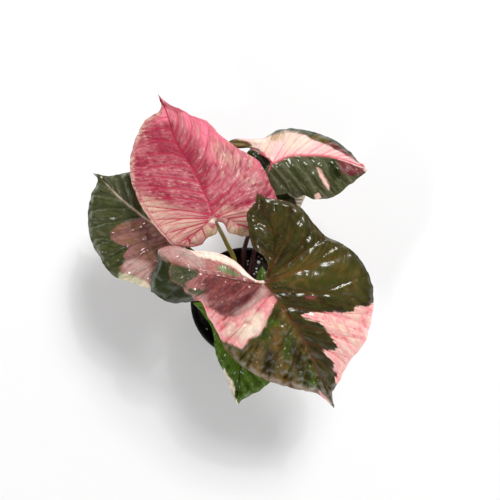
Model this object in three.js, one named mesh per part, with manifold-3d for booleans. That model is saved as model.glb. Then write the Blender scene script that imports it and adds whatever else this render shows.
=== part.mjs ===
// A potted arrowhead plant: six variegated leaves on long stalks in a round nursery pot.
// Millimetres, +Z up, with the origin at the centre of the pot's base.
import * as THREE from "three";
import { mergeVertices } from "three/addons/utils/BufferGeometryUtils.js";
import Module from "manifold-3d";

const wasm = await Module();
wasm.setup();

// Pot
const potHeight = 88;
const rimRadius = 50;
const baseRadius = 35;
const wall = 1.4;
const floorThickness = 2;
const lipHeight = 7;
const lipOverhang = 2.8;
const lipRound = 1;
const footBevel = 1.5;
const ledge = 0.8;
const ledgeDrop = 9;
const potSides = 48;
const potColour = 0x17181b;
const potRoughness = 0.45;
const drainHoles = 8;
const drainHoleRadius = 4;
const drainHoleCircle = 24;
const drainHoleSides = 16;
const drillOvershoot = 1;

// Potting mix
const mixTop = 77;
const mixMound = 2;
const lumpHeight = 0.8;
const lumpLength = 18;
const lumpPhase = 1.3;
const fineLumpHeight = 0.4;
const fineLumpLength = 13;
const mixRings = 9;
const mixSpokes = 36;
const mixColour = 0x241c16;
const mixRoughness = 0.95;
const holeSides = 12;
const gap = 0.3;

// Perlite grains in the mix
const perliteGrains = 34;
const perliteSeed = 7;
const perliteRadius = 1;
const perliteExtraRadius = 1.1;
const perliteFlatness = 0.8;
const perliteSunkShare = 0.1;
const perliteFromStalk = 3.5;
const perliteFromWall = 5;

// Leaf blades
const bladeThickness = 0.8;
const marginSteps = 16;
const lobeSteps = 8;
const ringsAcross = [0, 0.07, 0.3, 0.54, 0.78, 1];
const keelDepth = 1.2;
const keelLength = 90;
const keelLeastShare = 0.25;
const veinEvery = 4;
const veinDepth = 0.7;
const veinFullWidth = 25;
const halvesOutOfStep = 2;
const bladeRoughness = 0.35;

// Leaf stalks
const stalkBottom = 60;
const stalkBaseRadius = 2.6;
const stalkTopRadius = 1.7;
const stalkSides = 10;
const stalkSteps = 18;
const stalkSeat = 2.2;
const stalkUpright = 3;
const stalkRoughness = 0.5;

// Curves and merging
const samplesPerPoint = 10;
const mergeDistance = 0.001;

// Each leaf's outline, on the blade's middle surface, as seen facing from the junction to the tip.
// The margin runs from the tip back to the shoulder, the lobe on to its end, the inner side to the
// sinus. The arch lifts each half between rib and margin, the waves run along the margin, and the
// foot is where the stalk stands in the mix.
const leaves = {
  back_left: {
    bladeColour: 0xdf8f92,
    stalkColour: 0x8a7d2e,
    arch: 0.05,
    waves: 3,
    waveHeight: 1.6,
    phase: 0.5,
    junction: [-26, 67, 168],
    tip: [-78, 184, 120],
    sinus: [-24, 64, 167],
    midrib: [[-30, 81, 165], [-37, 96, 160], [-45, 112, 155], [-56, 129, 148], [-62, 143, 142],
      [-66, 157, 135], [-71, 170, 128]],
    left: {
      rib: [[-32, 61, 168], [-40, 53, 167], [-45, 48, 166]],
      margin: [[-74, 174, 126], [-74, 166, 129], [-85, 158, 132], [-93, 142, 137], [-97, 121, 143],
        [-95, 101, 150], [-89, 85, 155]],
      lobe: [[-81, 71, 161], [-68, 55, 166], [-58, 45, 166], [-45, 43, 165]],
      inner: [[-35, 45, 164], [-30, 50, 165], [-22, 55, 164]],
    },
    right: {
      rib: [[-18, 67, 168], [-8, 63, 165], [-2, 58, 163]],
      margin: [[-70, 175, 126], [-56, 166, 133], [-44, 158, 139], [-32, 152, 143], [-20, 138, 149],
        [-6, 127, 153], [12, 114, 157], [21, 96, 161], [27, 79, 160]],
      lobe: [[22, 66, 159], [11, 55, 160], [-2, 52, 162]],
      inner: [[-13, 55, 164], [-17, 62, 166]],
    },
    foot: [-10, 28],
    stalk: [[-10, 38, 97], [-15, 48, 120], [-21, 59, 150]],
  },
  front: {
    bladeColour: 0x4d4326,
    stalkColour: 0x6d7a34,
    arch: 0.07,
    waves: 4,
    waveHeight: 2.0,
    phase: 1.1,
    junction: [16, 13, 178],
    tip: [77, -92, 112],
    sinus: [17, 16, 178],
    midrib: [[26, 1, 174], [35, -12, 170], [43, -24, 165], [51, -38, 157], [60, -57, 144],
      [69, -75, 128]],
    left: {
      rib: [[20, 24, 178], [23, 36, 178], [23, 50, 178], [19, 63, 179], [14, 75, 180]],
      margin: [[74, -77, 124], [79, -67, 131], [87, -50, 138], [98, -35, 143], [103, -20, 148],
        [105, -2, 153], [102, 16, 159]],
      lobe: [[91, 35, 166], [76, 46, 172], [64, 51, 176], [54, 61, 179], [44, 73, 181],
        [32, 78, 182], [18, 80, 182], [10, 84, 181]],
      inner: [[7, 75, 181], [2, 69, 181], [3, 55, 181], [6, 42, 181], [15, 34, 181], [19, 25, 180]],
    },
    right: {
      rib: [[6, 13, 177], [-9, 16, 176], [-26, 20, 174], [-43, 22, 171], [-59, 20, 163],
        [-69, 15, 154]],
      margin: [[69, -84, 118], [60, -78, 122], [48, -75, 126], [34, -71, 131], [14, -64, 137],
        [-2, -54, 142], [-15, -41, 147], [-23, -24, 153]],
      lobe: [[-31, -11, 158], [-36, 0, 157], [-47, -1, 150], [-62, -1, 146], [-78, 8, 145]],
      inner: [[-77, 21, 151], [-71, 32, 158], [-70, 41, 163], [-57, 44, 168], [-42, 40, 171],
        [-24, 38, 173], [-9, 32, 175], [0, 24, 176], [9, 16, 177]],
    },
    foot: [1, 14],
    stalk: [[3, 13, 100], [7, 12, 130], [13, 12, 160]],
  },
  back_right: {
    bladeColour: 0x6a6f50,
    stalkColour: 0x5a1a24,
    arch: 0.05,
    waves: 4,
    waveHeight: 1.4,
    phase: 2.0,
    junction: [22, 116, 142],
    tip: [109, 117, 110],
    sinus: [21, 118, 141],
    midrib: [[31, 121, 138], [39, 125, 135], [51, 126, 131], [65, 127, 126], [79, 126, 121],
      [94, 123, 115], [104, 120, 112]],
    left: {
      rib: [[17, 124, 138], [9, 131, 134], [0, 136, 131], [-8, 137, 129]],
      margin: [[100, 126, 111], [91, 136, 111], [79, 144, 112], [65, 150, 114], [48, 152, 119],
        [37, 152, 121]],
      lobe: [[28, 150, 124], [22, 146, 127], [16, 142, 129], [4, 141, 129], [-8, 141, 127],
        [-17, 138, 127]],
      inner: [[-13, 132, 130], [-4, 132, 132], [6, 132, 133], [14, 129, 135], [20, 123, 139]],
    },
    right: {
      rib: [[20, 108, 141], [19, 99, 139]],
      margin: [[105, 113, 112], [94, 104, 116], [76, 91, 121], [59, 88, 127], [50, 91, 131],
        [44, 89, 132]],
      lobe: [[37, 92, 134], [25, 90, 136], [15, 93, 137]],
      inner: [[13, 104, 139], [18, 113, 141]],
    },
    foot: [-2, 34],
    stalk: [[-1, 48, 95], [4, 63, 106], [10, 84, 119], [16, 102, 130]],
  },
  left: {
    bladeColour: 0x35402a,
    stalkColour: 0x57602c,
    arch: 0.06,
    waves: 3,
    waveHeight: 1.4,
    phase: 0.0,
    junction: [-56, 52, 137],
    tip: [-139, 117, 97],
    sinus: [-54, 49, 136],
    midrib: [[-68, 60, 134], [-80, 67, 130], [-96, 79, 124], [-110, 91, 116], [-122, 103, 108],
      [-132, 112, 102]],
    left: {
      rib: [[-56, 41, 136], [-57, 29, 133], [-60, 17, 131]],
      margin: [[-133, 109, 103], [-138, 98, 104], [-141, 78, 106], [-138, 58, 109],
        [-125, 35, 116], [-114, 22, 120]],
      lobe: [[-97, 16, 127], [-82, 11, 129], [-70, 7, 128], [-59, 9, 128]],
      inner: [[-50, 18, 130], [-48, 30, 132], [-50, 42, 135]],
    },
    right: {
      rib: [[-50, 56, 137], [-47, 60, 137]],
      margin: [[-132, 115, 101], [-122, 113, 106], [-112, 114, 109], [-104, 115, 112],
        [-85, 111, 119], [-67, 102, 125]],
      lobe: [[-53, 90, 131], [-44, 78, 135], [-40, 65, 136]],
      inner: [[-42, 57, 135], [-48, 52, 136]],
    },
    foot: [-8, 18],
    stalk: [[-16, 24, 96], [-31, 34, 116], [-47, 44, 129]],
  },
  low_front: {
    bladeColour: 0x3f6f1c,
    stalkColour: 0x4f7f2a,
    arch: 0.06,
    waves: 3,
    waveHeight: 1.2,
    phase: 1.7,
    junction: [-8, -11, 106],
    tip: [-7, -92, 89],
    sinus: [-8, -8, 106],
    midrib: [[-6, -29, 104], [-4, -47, 101], [-5, -67, 96], [-8, -84, 91]],
    left: {
      rib: [[4, -7, 106], [15, 2, 103], [17, 17, 101], [16, 24, 100]],
      margin: [[-3, -88, 90], [4, -84, 91], [17, -76, 93], [24, -69, 94], [31, -50, 97],
        [33, -30, 100]],
      lobe: [[30, -12, 103], [26, 7, 101], [22, 22, 99], [15, 32, 98]],
      inner: [[10, 24, 100], [9, 12, 102], [1, 0, 104]],
    },
    right: {
      rib: [[-19, -10, 106], [-30, -9, 105], [-39, -6, 103]],
      margin: [[-12, -81, 92], [-18, -65, 97], [-23, -55, 99], [-27, -43, 101], [-28, -32, 103]],
      lobe: [[-30, -22, 104], [-36, -13, 104], [-41, -7, 103], [-47, -1, 101]],
      inner: [[-38, 0, 103], [-26, -4, 105], [-16, -5, 105]],
    },
    foot: [-1, 4],
    stalk: [[-3, -3, 92]],
  },
  low_back: {
    bladeColour: 0x2c3b20,
    stalkColour: 0x4b1620,
    arch: 0.05,
    waves: 3,
    waveHeight: 1.2,
    phase: 2.6,
    junction: [18, 86, 112],
    tip: [32, 150, 99],
    sinus: [19, 83, 112],
    midrib: [[21, 101, 110], [25, 118, 107], [28, 133, 104], [31, 144, 100]],
    left: {
      rib: [[13, 84, 112], [9, 81, 111]],
      margin: [[22, 148, 100], [10, 143, 101], [0, 133, 103], [-4, 118, 106], [-4, 105, 109],
        [-2, 94, 111]],
      lobe: [[1, 84, 111], [6, 78, 111]],
      inner: [[13, 78, 111]],
    },
    right: {
      rib: [[27, 83, 112], [36, 81, 111]],
      margin: [[39, 146, 100], [48, 136, 101], [55, 120, 103], [56, 105, 105], [53, 92, 108]],
      lobe: [[48, 83, 110], [40, 78, 111]],
      inner: [[32, 76, 111], [25, 79, 111]],
    },
    foot: [4, 27],
    stalk: [[6, 38, 89], [10, 52, 98], [15, 72, 104]],
  },
};

// Smooth points at even spacing along part of a curve through control points.
function evenPoints(controls, count, from = 0, to = controls.length - 1) {
  const knots = controls.map((p) => new THREE.Vector3(...p));
  const curve = new THREE.CatmullRomCurve3(knots, false, "centripetal");
  const fine = [];
  const fineCount = samplesPerPoint * (to - from);
  for (let i = 0; i <= fineCount; i++) {
    fine.push(curve.getPoint((from + (i / fineCount) * (to - from)) / (controls.length - 1)));
  }
  const travelled = [0];
  for (let i = 1; i < fine.length; i++) {
    travelled.push(travelled[i - 1] + fine[i].distanceTo(fine[i - 1]));
  }
  const points = [];
  let j = 1;
  for (let i = 0; i <= count; i++) {
    const target = (travelled.at(-1) * i) / count;
    while (j < fine.length - 1 && travelled[j] < target) j++;
    const t = (target - travelled[j - 1]) / (travelled[j] - travelled[j - 1]);
    points.push(fine[j - 1].clone().lerp(fine[j], t));
  }
  return points;
}

// A closed solid from a geometry: shared corners merged, collapsed triangles dropped.
function solidFrom(geometry) {
  const bare = geometry.clone();
  bare.deleteAttribute("normal");
  bare.deleteAttribute("uv");
  const merged = mergeVertices(bare, mergeDistance);
  const triVerts = [];
  for (let i = 0; i < merged.index.count; i += 3) {
    const corners = [0, 1, 2].map((c) => merged.index.getX(i + c));
    if (new Set(corners).size === 3) triVerts.push(...corners);
  }
  const vertProperties = merged.getAttribute("position").array;
  return new wasm.Manifold(
    new wasm.Mesh({ numProp: 3, vertProperties, triVerts: new Uint32Array(triVerts) }),
  );
}

function geometryFrom(solid) {
  const { vertProperties, triVerts } = solid.getMesh();
  const geometry = new THREE.BufferGeometry();
  geometry.setAttribute("position", new THREE.Float32BufferAttribute(vertProperties, 3));
  geometry.setIndex([...triVerts]);
  return geometry;
}

// A body of revolution about Z from [radius, height] points that start and end on the axis.
function turned(profile, segments) {
  const lathe = new THREE.LatheGeometry(profile.map((p) => new THREE.Vector2(...p)), segments);
  return lathe.rotateX(Math.PI / 2);
}

function cylinderAt(x, y, bottom, top, radius, sides) {
  const cylinder = new THREE.CylinderGeometry(radius, radius, top - bottom, sides);
  return cylinder.rotateX(Math.PI / 2).translate(x, y, (top + bottom) / 2);
}

// Pot: a tapered shell with a rounded lip turned out at the rim and drain holes round its solid centre.
const innerBase = baseRadius - wall;
const innerTop = rimRadius - lipOverhang;
const wallSlope = (innerTop - innerBase) / (potHeight - floorThickness);
const innerRadius = (z) => innerBase + (z - floorThickness) * wallSlope;
const outerRadius = (z) => innerRadius(z) + wall;

function potGeometry() {
  const lipBottom = potHeight - lipHeight;
  const corner = (1 - Math.SQRT1_2) * lipRound;
  const profile = [
    [0, 0],
    [baseRadius - footBevel, 0],
    [outerRadius(footBevel), footBevel],
    [outerRadius(lipBottom - ledgeDrop), lipBottom - ledgeDrop],
    [outerRadius(lipBottom) + ledge, lipBottom - ledgeDrop + ledge],
    [outerRadius(lipBottom) + ledge, lipBottom],
    [rimRadius - lipRound, lipBottom],
    [rimRadius, lipBottom + lipRound],
    [rimRadius, potHeight - lipRound],
    [rimRadius - corner, potHeight - corner],
    [rimRadius - lipRound, potHeight],
    [innerTop, potHeight],
    [innerBase, floorThickness],
    [0, floorThickness],
  ];
  let pot = solidFrom(turned(profile, potSides));
  for (let i = 0; i < drainHoles; i++) {
    const angle = (2 * Math.PI * (i + 0.5)) / drainHoles;
    const x = drainHoleCircle * Math.cos(angle);
    const y = drainHoleCircle * Math.sin(angle);
    const top = floorThickness + drillOvershoot;
    const drill = cylinderAt(x, y, -drillOvershoot, top, drainHoleRadius, drainHoleSides);
    pot = pot.subtract(solidFrom(drill));
  }
  return geometryFrom(pot);
}

// Random draws from 0 to 1 that are the same each time.
function seededDraws(seed) {
  const multiplier = 16807;
  const modulus = 2147483647;
  let state = seed;
  return () => {
    state = (state * multiplier) % modulus;
    return state / modulus;
  };
}

// Height of the mix's lumpy top, mounded towards the stalks and low at the wall.
function mixHeight(x, y) {
  const mound = mixMound * (1 - (x * x + y * y) / (rimRadius * rimRadius));
  const turn = (distance, length) => (2 * Math.PI * distance) / length;
  const lumps = Math.sin(turn(x, lumpLength) + lumpPhase) * Math.cos(turn(y, lumpLength));
  const fineLumps = Math.sin(turn(x - y, fineLumpLength));
  return mixTop + mound + lumpHeight * lumps + fineLumpHeight * fineLumps;
}

function mixGeometry() {
  const outer = innerRadius(mixTop) - gap;
  const profile = [[0, floorThickness], [innerBase - gap, floorThickness]];
  for (let i = 0; i <= mixRings; i++) {
    profile.push([outer * (1 - i / mixRings), mixTop]);
  }
  const body = turned(profile, mixSpokes);
  const place = body.getAttribute("position");
  for (let i = 0; i < place.count; i++) {
    if (place.getZ(i) < mixTop / 2) continue;
    place.setZ(i, mixHeight(place.getX(i), place.getY(i)));
  }
  let mix = solidFrom(body);
  for (const leaf of Object.values(leaves)) {
    const [x, y] = leaf.foot;
    const radius = (stalkBaseRadius + gap) / Math.cos(Math.PI / holeSides);
    mix = mix.subtract(solidFrom(cylinderAt(x, y, stalkBottom - gap, potHeight, radius, holeSides)));
  }
  return geometryFrom(withPerlite(mix));
}

// White grains scattered over the mix and sunk into it, clear of the stalks and the wall.
function withPerlite(mix) {
  const draw = seededDraws(perliteSeed);
  const feet = Object.values(leaves).map((leaf) => leaf.foot);
  const stalkReach = stalkBaseRadius + perliteFromStalk;
  const reach = innerRadius(mixTop) - perliteFromWall;
  let grains = 0;
  let result = mix;
  while (grains < perliteGrains) {
    const distance = reach * Math.sqrt(draw());
    const angle = 2 * Math.PI * draw();
    const radius = perliteRadius + perliteExtraRadius * draw();
    const x = distance * Math.cos(angle);
    const y = distance * Math.sin(angle);
    if (feet.some(([footX, footY]) => Math.hypot(x - footX, y - footY) < stalkReach)) continue;
    const grain = new THREE.IcosahedronGeometry(radius, 0);
    grain.scale(1, perliteFlatness, perliteFlatness).rotateZ(2 * Math.PI * draw());
    grain.translate(x, y, mixHeight(x, y) - perliteSunkShare * radius);
    result = result.add(solidFrom(grain));
    grains++;
  }
  return result;
}

// One half of a leaf as columns from the tip round to the sinus. A column joins a rib to the margin.
function halfColumns(leaf, side) {
  const outer = [leaf.tip, ...side.margin, ...side.lobe];
  const shoulder = side.margin.length;
  const inner = [side.lobe.at(-1), ...side.inner, leaf.sinus];
  const midrib = evenPoints([leaf.junction, ...leaf.midrib], marginSteps).reverse();
  const lobeRib = evenPoints([leaf.junction, ...side.rib], lobeSteps);
  const stretches = [
    { ribs: midrib, edges: evenPoints(outer, marginSteps, 0, shoulder) },
    { ribs: lobeRib, edges: evenPoints(outer, lobeSteps, shoulder) },
    { ribs: lobeRib.slice().reverse(), edges: evenPoints(inner, lobeSteps) },
  ];
  const columns = [];
  for (const { ribs, edges } of stretches) {
    for (let i = columns.length ? 1 : 0; i < ribs.length; i++) {
      columns.push({ rib: ribs[i], edge: edges[i] });
    }
  }
  return columns;
}

// The blade's middle surface as rows of points, each row running out from a rib to the margin.
function bladeRows(leaf) {
  const halves = [leaf.left, leaf.right].map((side, half) => {
    const columns = halfColumns(leaf, side);
    return columns.map(({ rib, edge }, k) => {
      const along = k / (columns.length - 1);
      const width = Math.hypot(edge.x - rib.x, edge.y - rib.y);
      const turn = 2 * Math.PI * leaf.waves * along + leaf.phase + halvesOutOfStep * half;
      const wave = leaf.waveHeight * Math.sin(Math.PI * along) * Math.sin(turn);
      const depth = veinDepth * Math.min(1, width / veinFullWidth);
      const vein = depth * Math.cos((2 * Math.PI * k) / veinEvery);
      return ringsAcross.map((v) => {
        const point = rib.clone().lerp(edge, v);
        point.z += (leaf.arch * width - vein) * 4 * v * (1 - v) + wave * v * v;
        return point;
      });
    });
  });
  return [...halves[0], ...halves[1].slice(1, -1).reverse()];
}

// A thin closed blade round the middle surface, split alike on both faces, with a keel under its ribs.
function bladeGeometry(leaf) {
  const rows = bladeRows(leaf);
  const rings = ringsAcross.length;
  const index = [];
  const rim = [];
  rows.forEach((row, k) => {
    const a = k * rings;
    const b = ((k + 1) % rows.length) * rings;
    for (let i = 0; i < rings - 1; i++) {
      index.push(a + i, a + i + 1, b + i + 1, a + i, b + i + 1, b + i);
    }
    rim.push([a + rings - 1, b + rings - 1]);
  });
  const normals = sheetNormals(rows.flat(), index);
  const half = rows.length * rings;
  const points = [];
  const below = [];
  rows.flat().forEach((point, i) => {
    const fromJunction = point.distanceTo(new THREE.Vector3(...leaf.junction));
    const keelShare = Math.max(keelLeastShare, 1 - fromJunction / keelLength);
    const keel = i % rings === 0 ? keelDepth * keelShare : 0;
    points.push(...point.clone().addScaledVector(normals[i], bladeThickness / 2));
    below.push(...point.clone().addScaledVector(normals[i], -bladeThickness / 2 - keel));
  });
  const faces = [...index];
  for (let i = 0; i < index.length; i += 3) {
    faces.push(index[i] + half, index[i + 2] + half, index[i + 1] + half);
  }
  for (const [a, b] of rim) {
    faces.push(a, a + half, b + half, a, b + half, b);
  }
  const blade = new THREE.BufferGeometry();
  blade.setAttribute("position", new THREE.Float32BufferAttribute([...points, ...below], 3));
  blade.setIndex(faces);
  return geometryFrom(solidFrom(blade));
}

// A normal for each point of a sheet, the same for points that lie on one another.
function sheetNormals(points, index) {
  const sums = new Map();
  const key = (p) => p.toArray().map((c) => c.toFixed(3)).join(" ");
  const triangle = new THREE.Triangle();
  const normal = new THREE.Vector3();
  for (let i = 0; i < index.length; i += 3) {
    const corners = [0, 1, 2].map((c) => points[index[i + c]]);
    triangle.set(...corners).getNormal(normal).multiplyScalar(triangle.getArea());
    for (const corner of corners) {
      const at = key(corner);
      if (!sums.has(at)) sums.set(at, new THREE.Vector3());
      sums.get(at).add(normal);
    }
  }
  return points.map((p) => sums.get(key(p)).clone().normalize());
}

// A leaf stalk: a round tube from its foot in the mix to the underside of the blade's junction.
function stalkGeometry(leaf) {
  const [footX, footY] = leaf.foot;
  const [topX, topY, junctionZ] = leaf.junction;
  const top = junctionZ - stalkSeat;
  const buried = new THREE.Vector3(footX, footY, stalkBottom);
  const route = [
    [footX, footY, mixTop + stalkUpright],
    ...leaf.stalk,
    [topX, topY, top - stalkUpright],
    [topX, topY, top],
  ];
  const centres = [buried, ...evenPoints(route, stalkSteps)];
  const last = centres.length - 1;
  const up = new THREE.Vector3(0, 0, 1);
  const across = new THREE.Vector3(1, 0, 0);
  const points = [];
  centres.forEach((centre, i) => {
    const along = i < 2 || i === last ? up : centres[i + 1].clone().sub(centres[i - 1]).normalize();
    across.addScaledVector(along, -across.dot(along)).normalize();
    const aside = along.clone().cross(across);
    const slimming = Math.sqrt(Math.max(0, (i - 1) / (last - 1)));
    const radius = stalkBaseRadius + (stalkTopRadius - stalkBaseRadius) * slimming;
    for (let s = 0; s < stalkSides; s++) {
      const angle = (2 * Math.PI * s) / stalkSides;
      const out = across.clone().multiplyScalar(Math.cos(angle)).addScaledVector(aside, Math.sin(angle));
      points.push(...centre.clone().addScaledVector(out, radius));
    }
  });
  const faces = [];
  for (let i = 0; i < last; i++) {
    for (let s = 0; s < stalkSides; s++) {
      const a = i * stalkSides + s;
      const b = i * stalkSides + ((s + 1) % stalkSides);
      faces.push(a, b, b + stalkSides, a, b + stalkSides, a + stalkSides);
    }
  }
  for (let s = 1; s < stalkSides - 1; s++) {
    const end = last * stalkSides;
    faces.push(0, s + 1, s, end, end + s, end + s + 1);
  }
  const tube = new THREE.BufferGeometry();
  tube.setAttribute("position", new THREE.Float32BufferAttribute(points, 3));
  tube.setIndex(faces);
  return tube;
}

function named(name, geometry, color, roughness) {
  const mesh = new THREE.Mesh(geometry, new THREE.MeshStandardMaterial({ color, roughness, metalness: 0 }));
  mesh.name = name;
  return mesh;
}

const plant = new THREE.Group();
plant.add(named("pot", potGeometry(), potColour, potRoughness));
plant.add(named("potting_mix", mixGeometry(), mixColour, mixRoughness));
for (const [place, leaf] of Object.entries(leaves)) {
  plant.add(named(place + "_stalk", stalkGeometry(leaf), leaf.stalkColour, stalkRoughness));
  plant.add(named(place + "_blade", bladeGeometry(leaf), leaf.bladeColour, bladeRoughness));
}

export default plant;
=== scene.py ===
# Potted arrowhead plant: pot, potting mix, stalks and variegated leaf blades, in metres, +Z up.
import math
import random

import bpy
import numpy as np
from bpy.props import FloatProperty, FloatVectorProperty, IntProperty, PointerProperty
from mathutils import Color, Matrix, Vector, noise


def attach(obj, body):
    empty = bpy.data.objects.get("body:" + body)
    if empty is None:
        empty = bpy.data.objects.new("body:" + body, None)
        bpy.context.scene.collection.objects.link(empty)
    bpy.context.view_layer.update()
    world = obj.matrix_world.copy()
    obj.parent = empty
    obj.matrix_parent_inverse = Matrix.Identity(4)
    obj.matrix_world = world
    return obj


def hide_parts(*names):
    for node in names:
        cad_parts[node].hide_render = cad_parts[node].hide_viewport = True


bl_info = {
    "name": "Potted arrowhead plant",
    "version": (1, 0, 0),
    "blender": (4, 5, 0),
    "location": "View3D > Sidebar > Plant",
    "description": "Models a variegated arrowhead plant in a nursery pot",
    "category": "Add Mesh",
}

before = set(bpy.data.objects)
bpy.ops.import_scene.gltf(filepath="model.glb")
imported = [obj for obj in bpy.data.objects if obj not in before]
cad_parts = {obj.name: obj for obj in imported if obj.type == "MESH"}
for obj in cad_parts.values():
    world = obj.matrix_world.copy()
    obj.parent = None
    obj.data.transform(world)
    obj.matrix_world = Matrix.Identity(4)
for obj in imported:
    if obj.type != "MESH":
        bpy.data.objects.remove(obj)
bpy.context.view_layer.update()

MM = 0.001
WELD = 0.002 * MM
FAR = 1e9
TINY = 1e-12
SCREEN_WHITE = 255

# Each leaf's outline in millimetres, on the blade's middle surface, as seen facing from the junction
# to the tip. The margin runs from the tip back to the shoulder, the lobe on to its end, and the inner
# side to the sinus. Veins are pairs: where one leaves the ribs and where it meets the margin, counted
# 0 to 1 from the tip to the junction, 1 to 2 out along the lobe's rib and 2 to 3 back again. A third number
# makes a vein that much heavier. Relief is the strength of the swellings at the tip, junction and lobe.
EVEN_VEINS = [(0.15, 0.07), (0.3, 0.18), (0.45, 0.31), (0.6, 0.45), (0.75, 0.61), (0.88, 0.78),
              (0.98, 0.93), (1.3, 1.2), (1.65, 1.65), (2.4, 2.4)]

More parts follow.
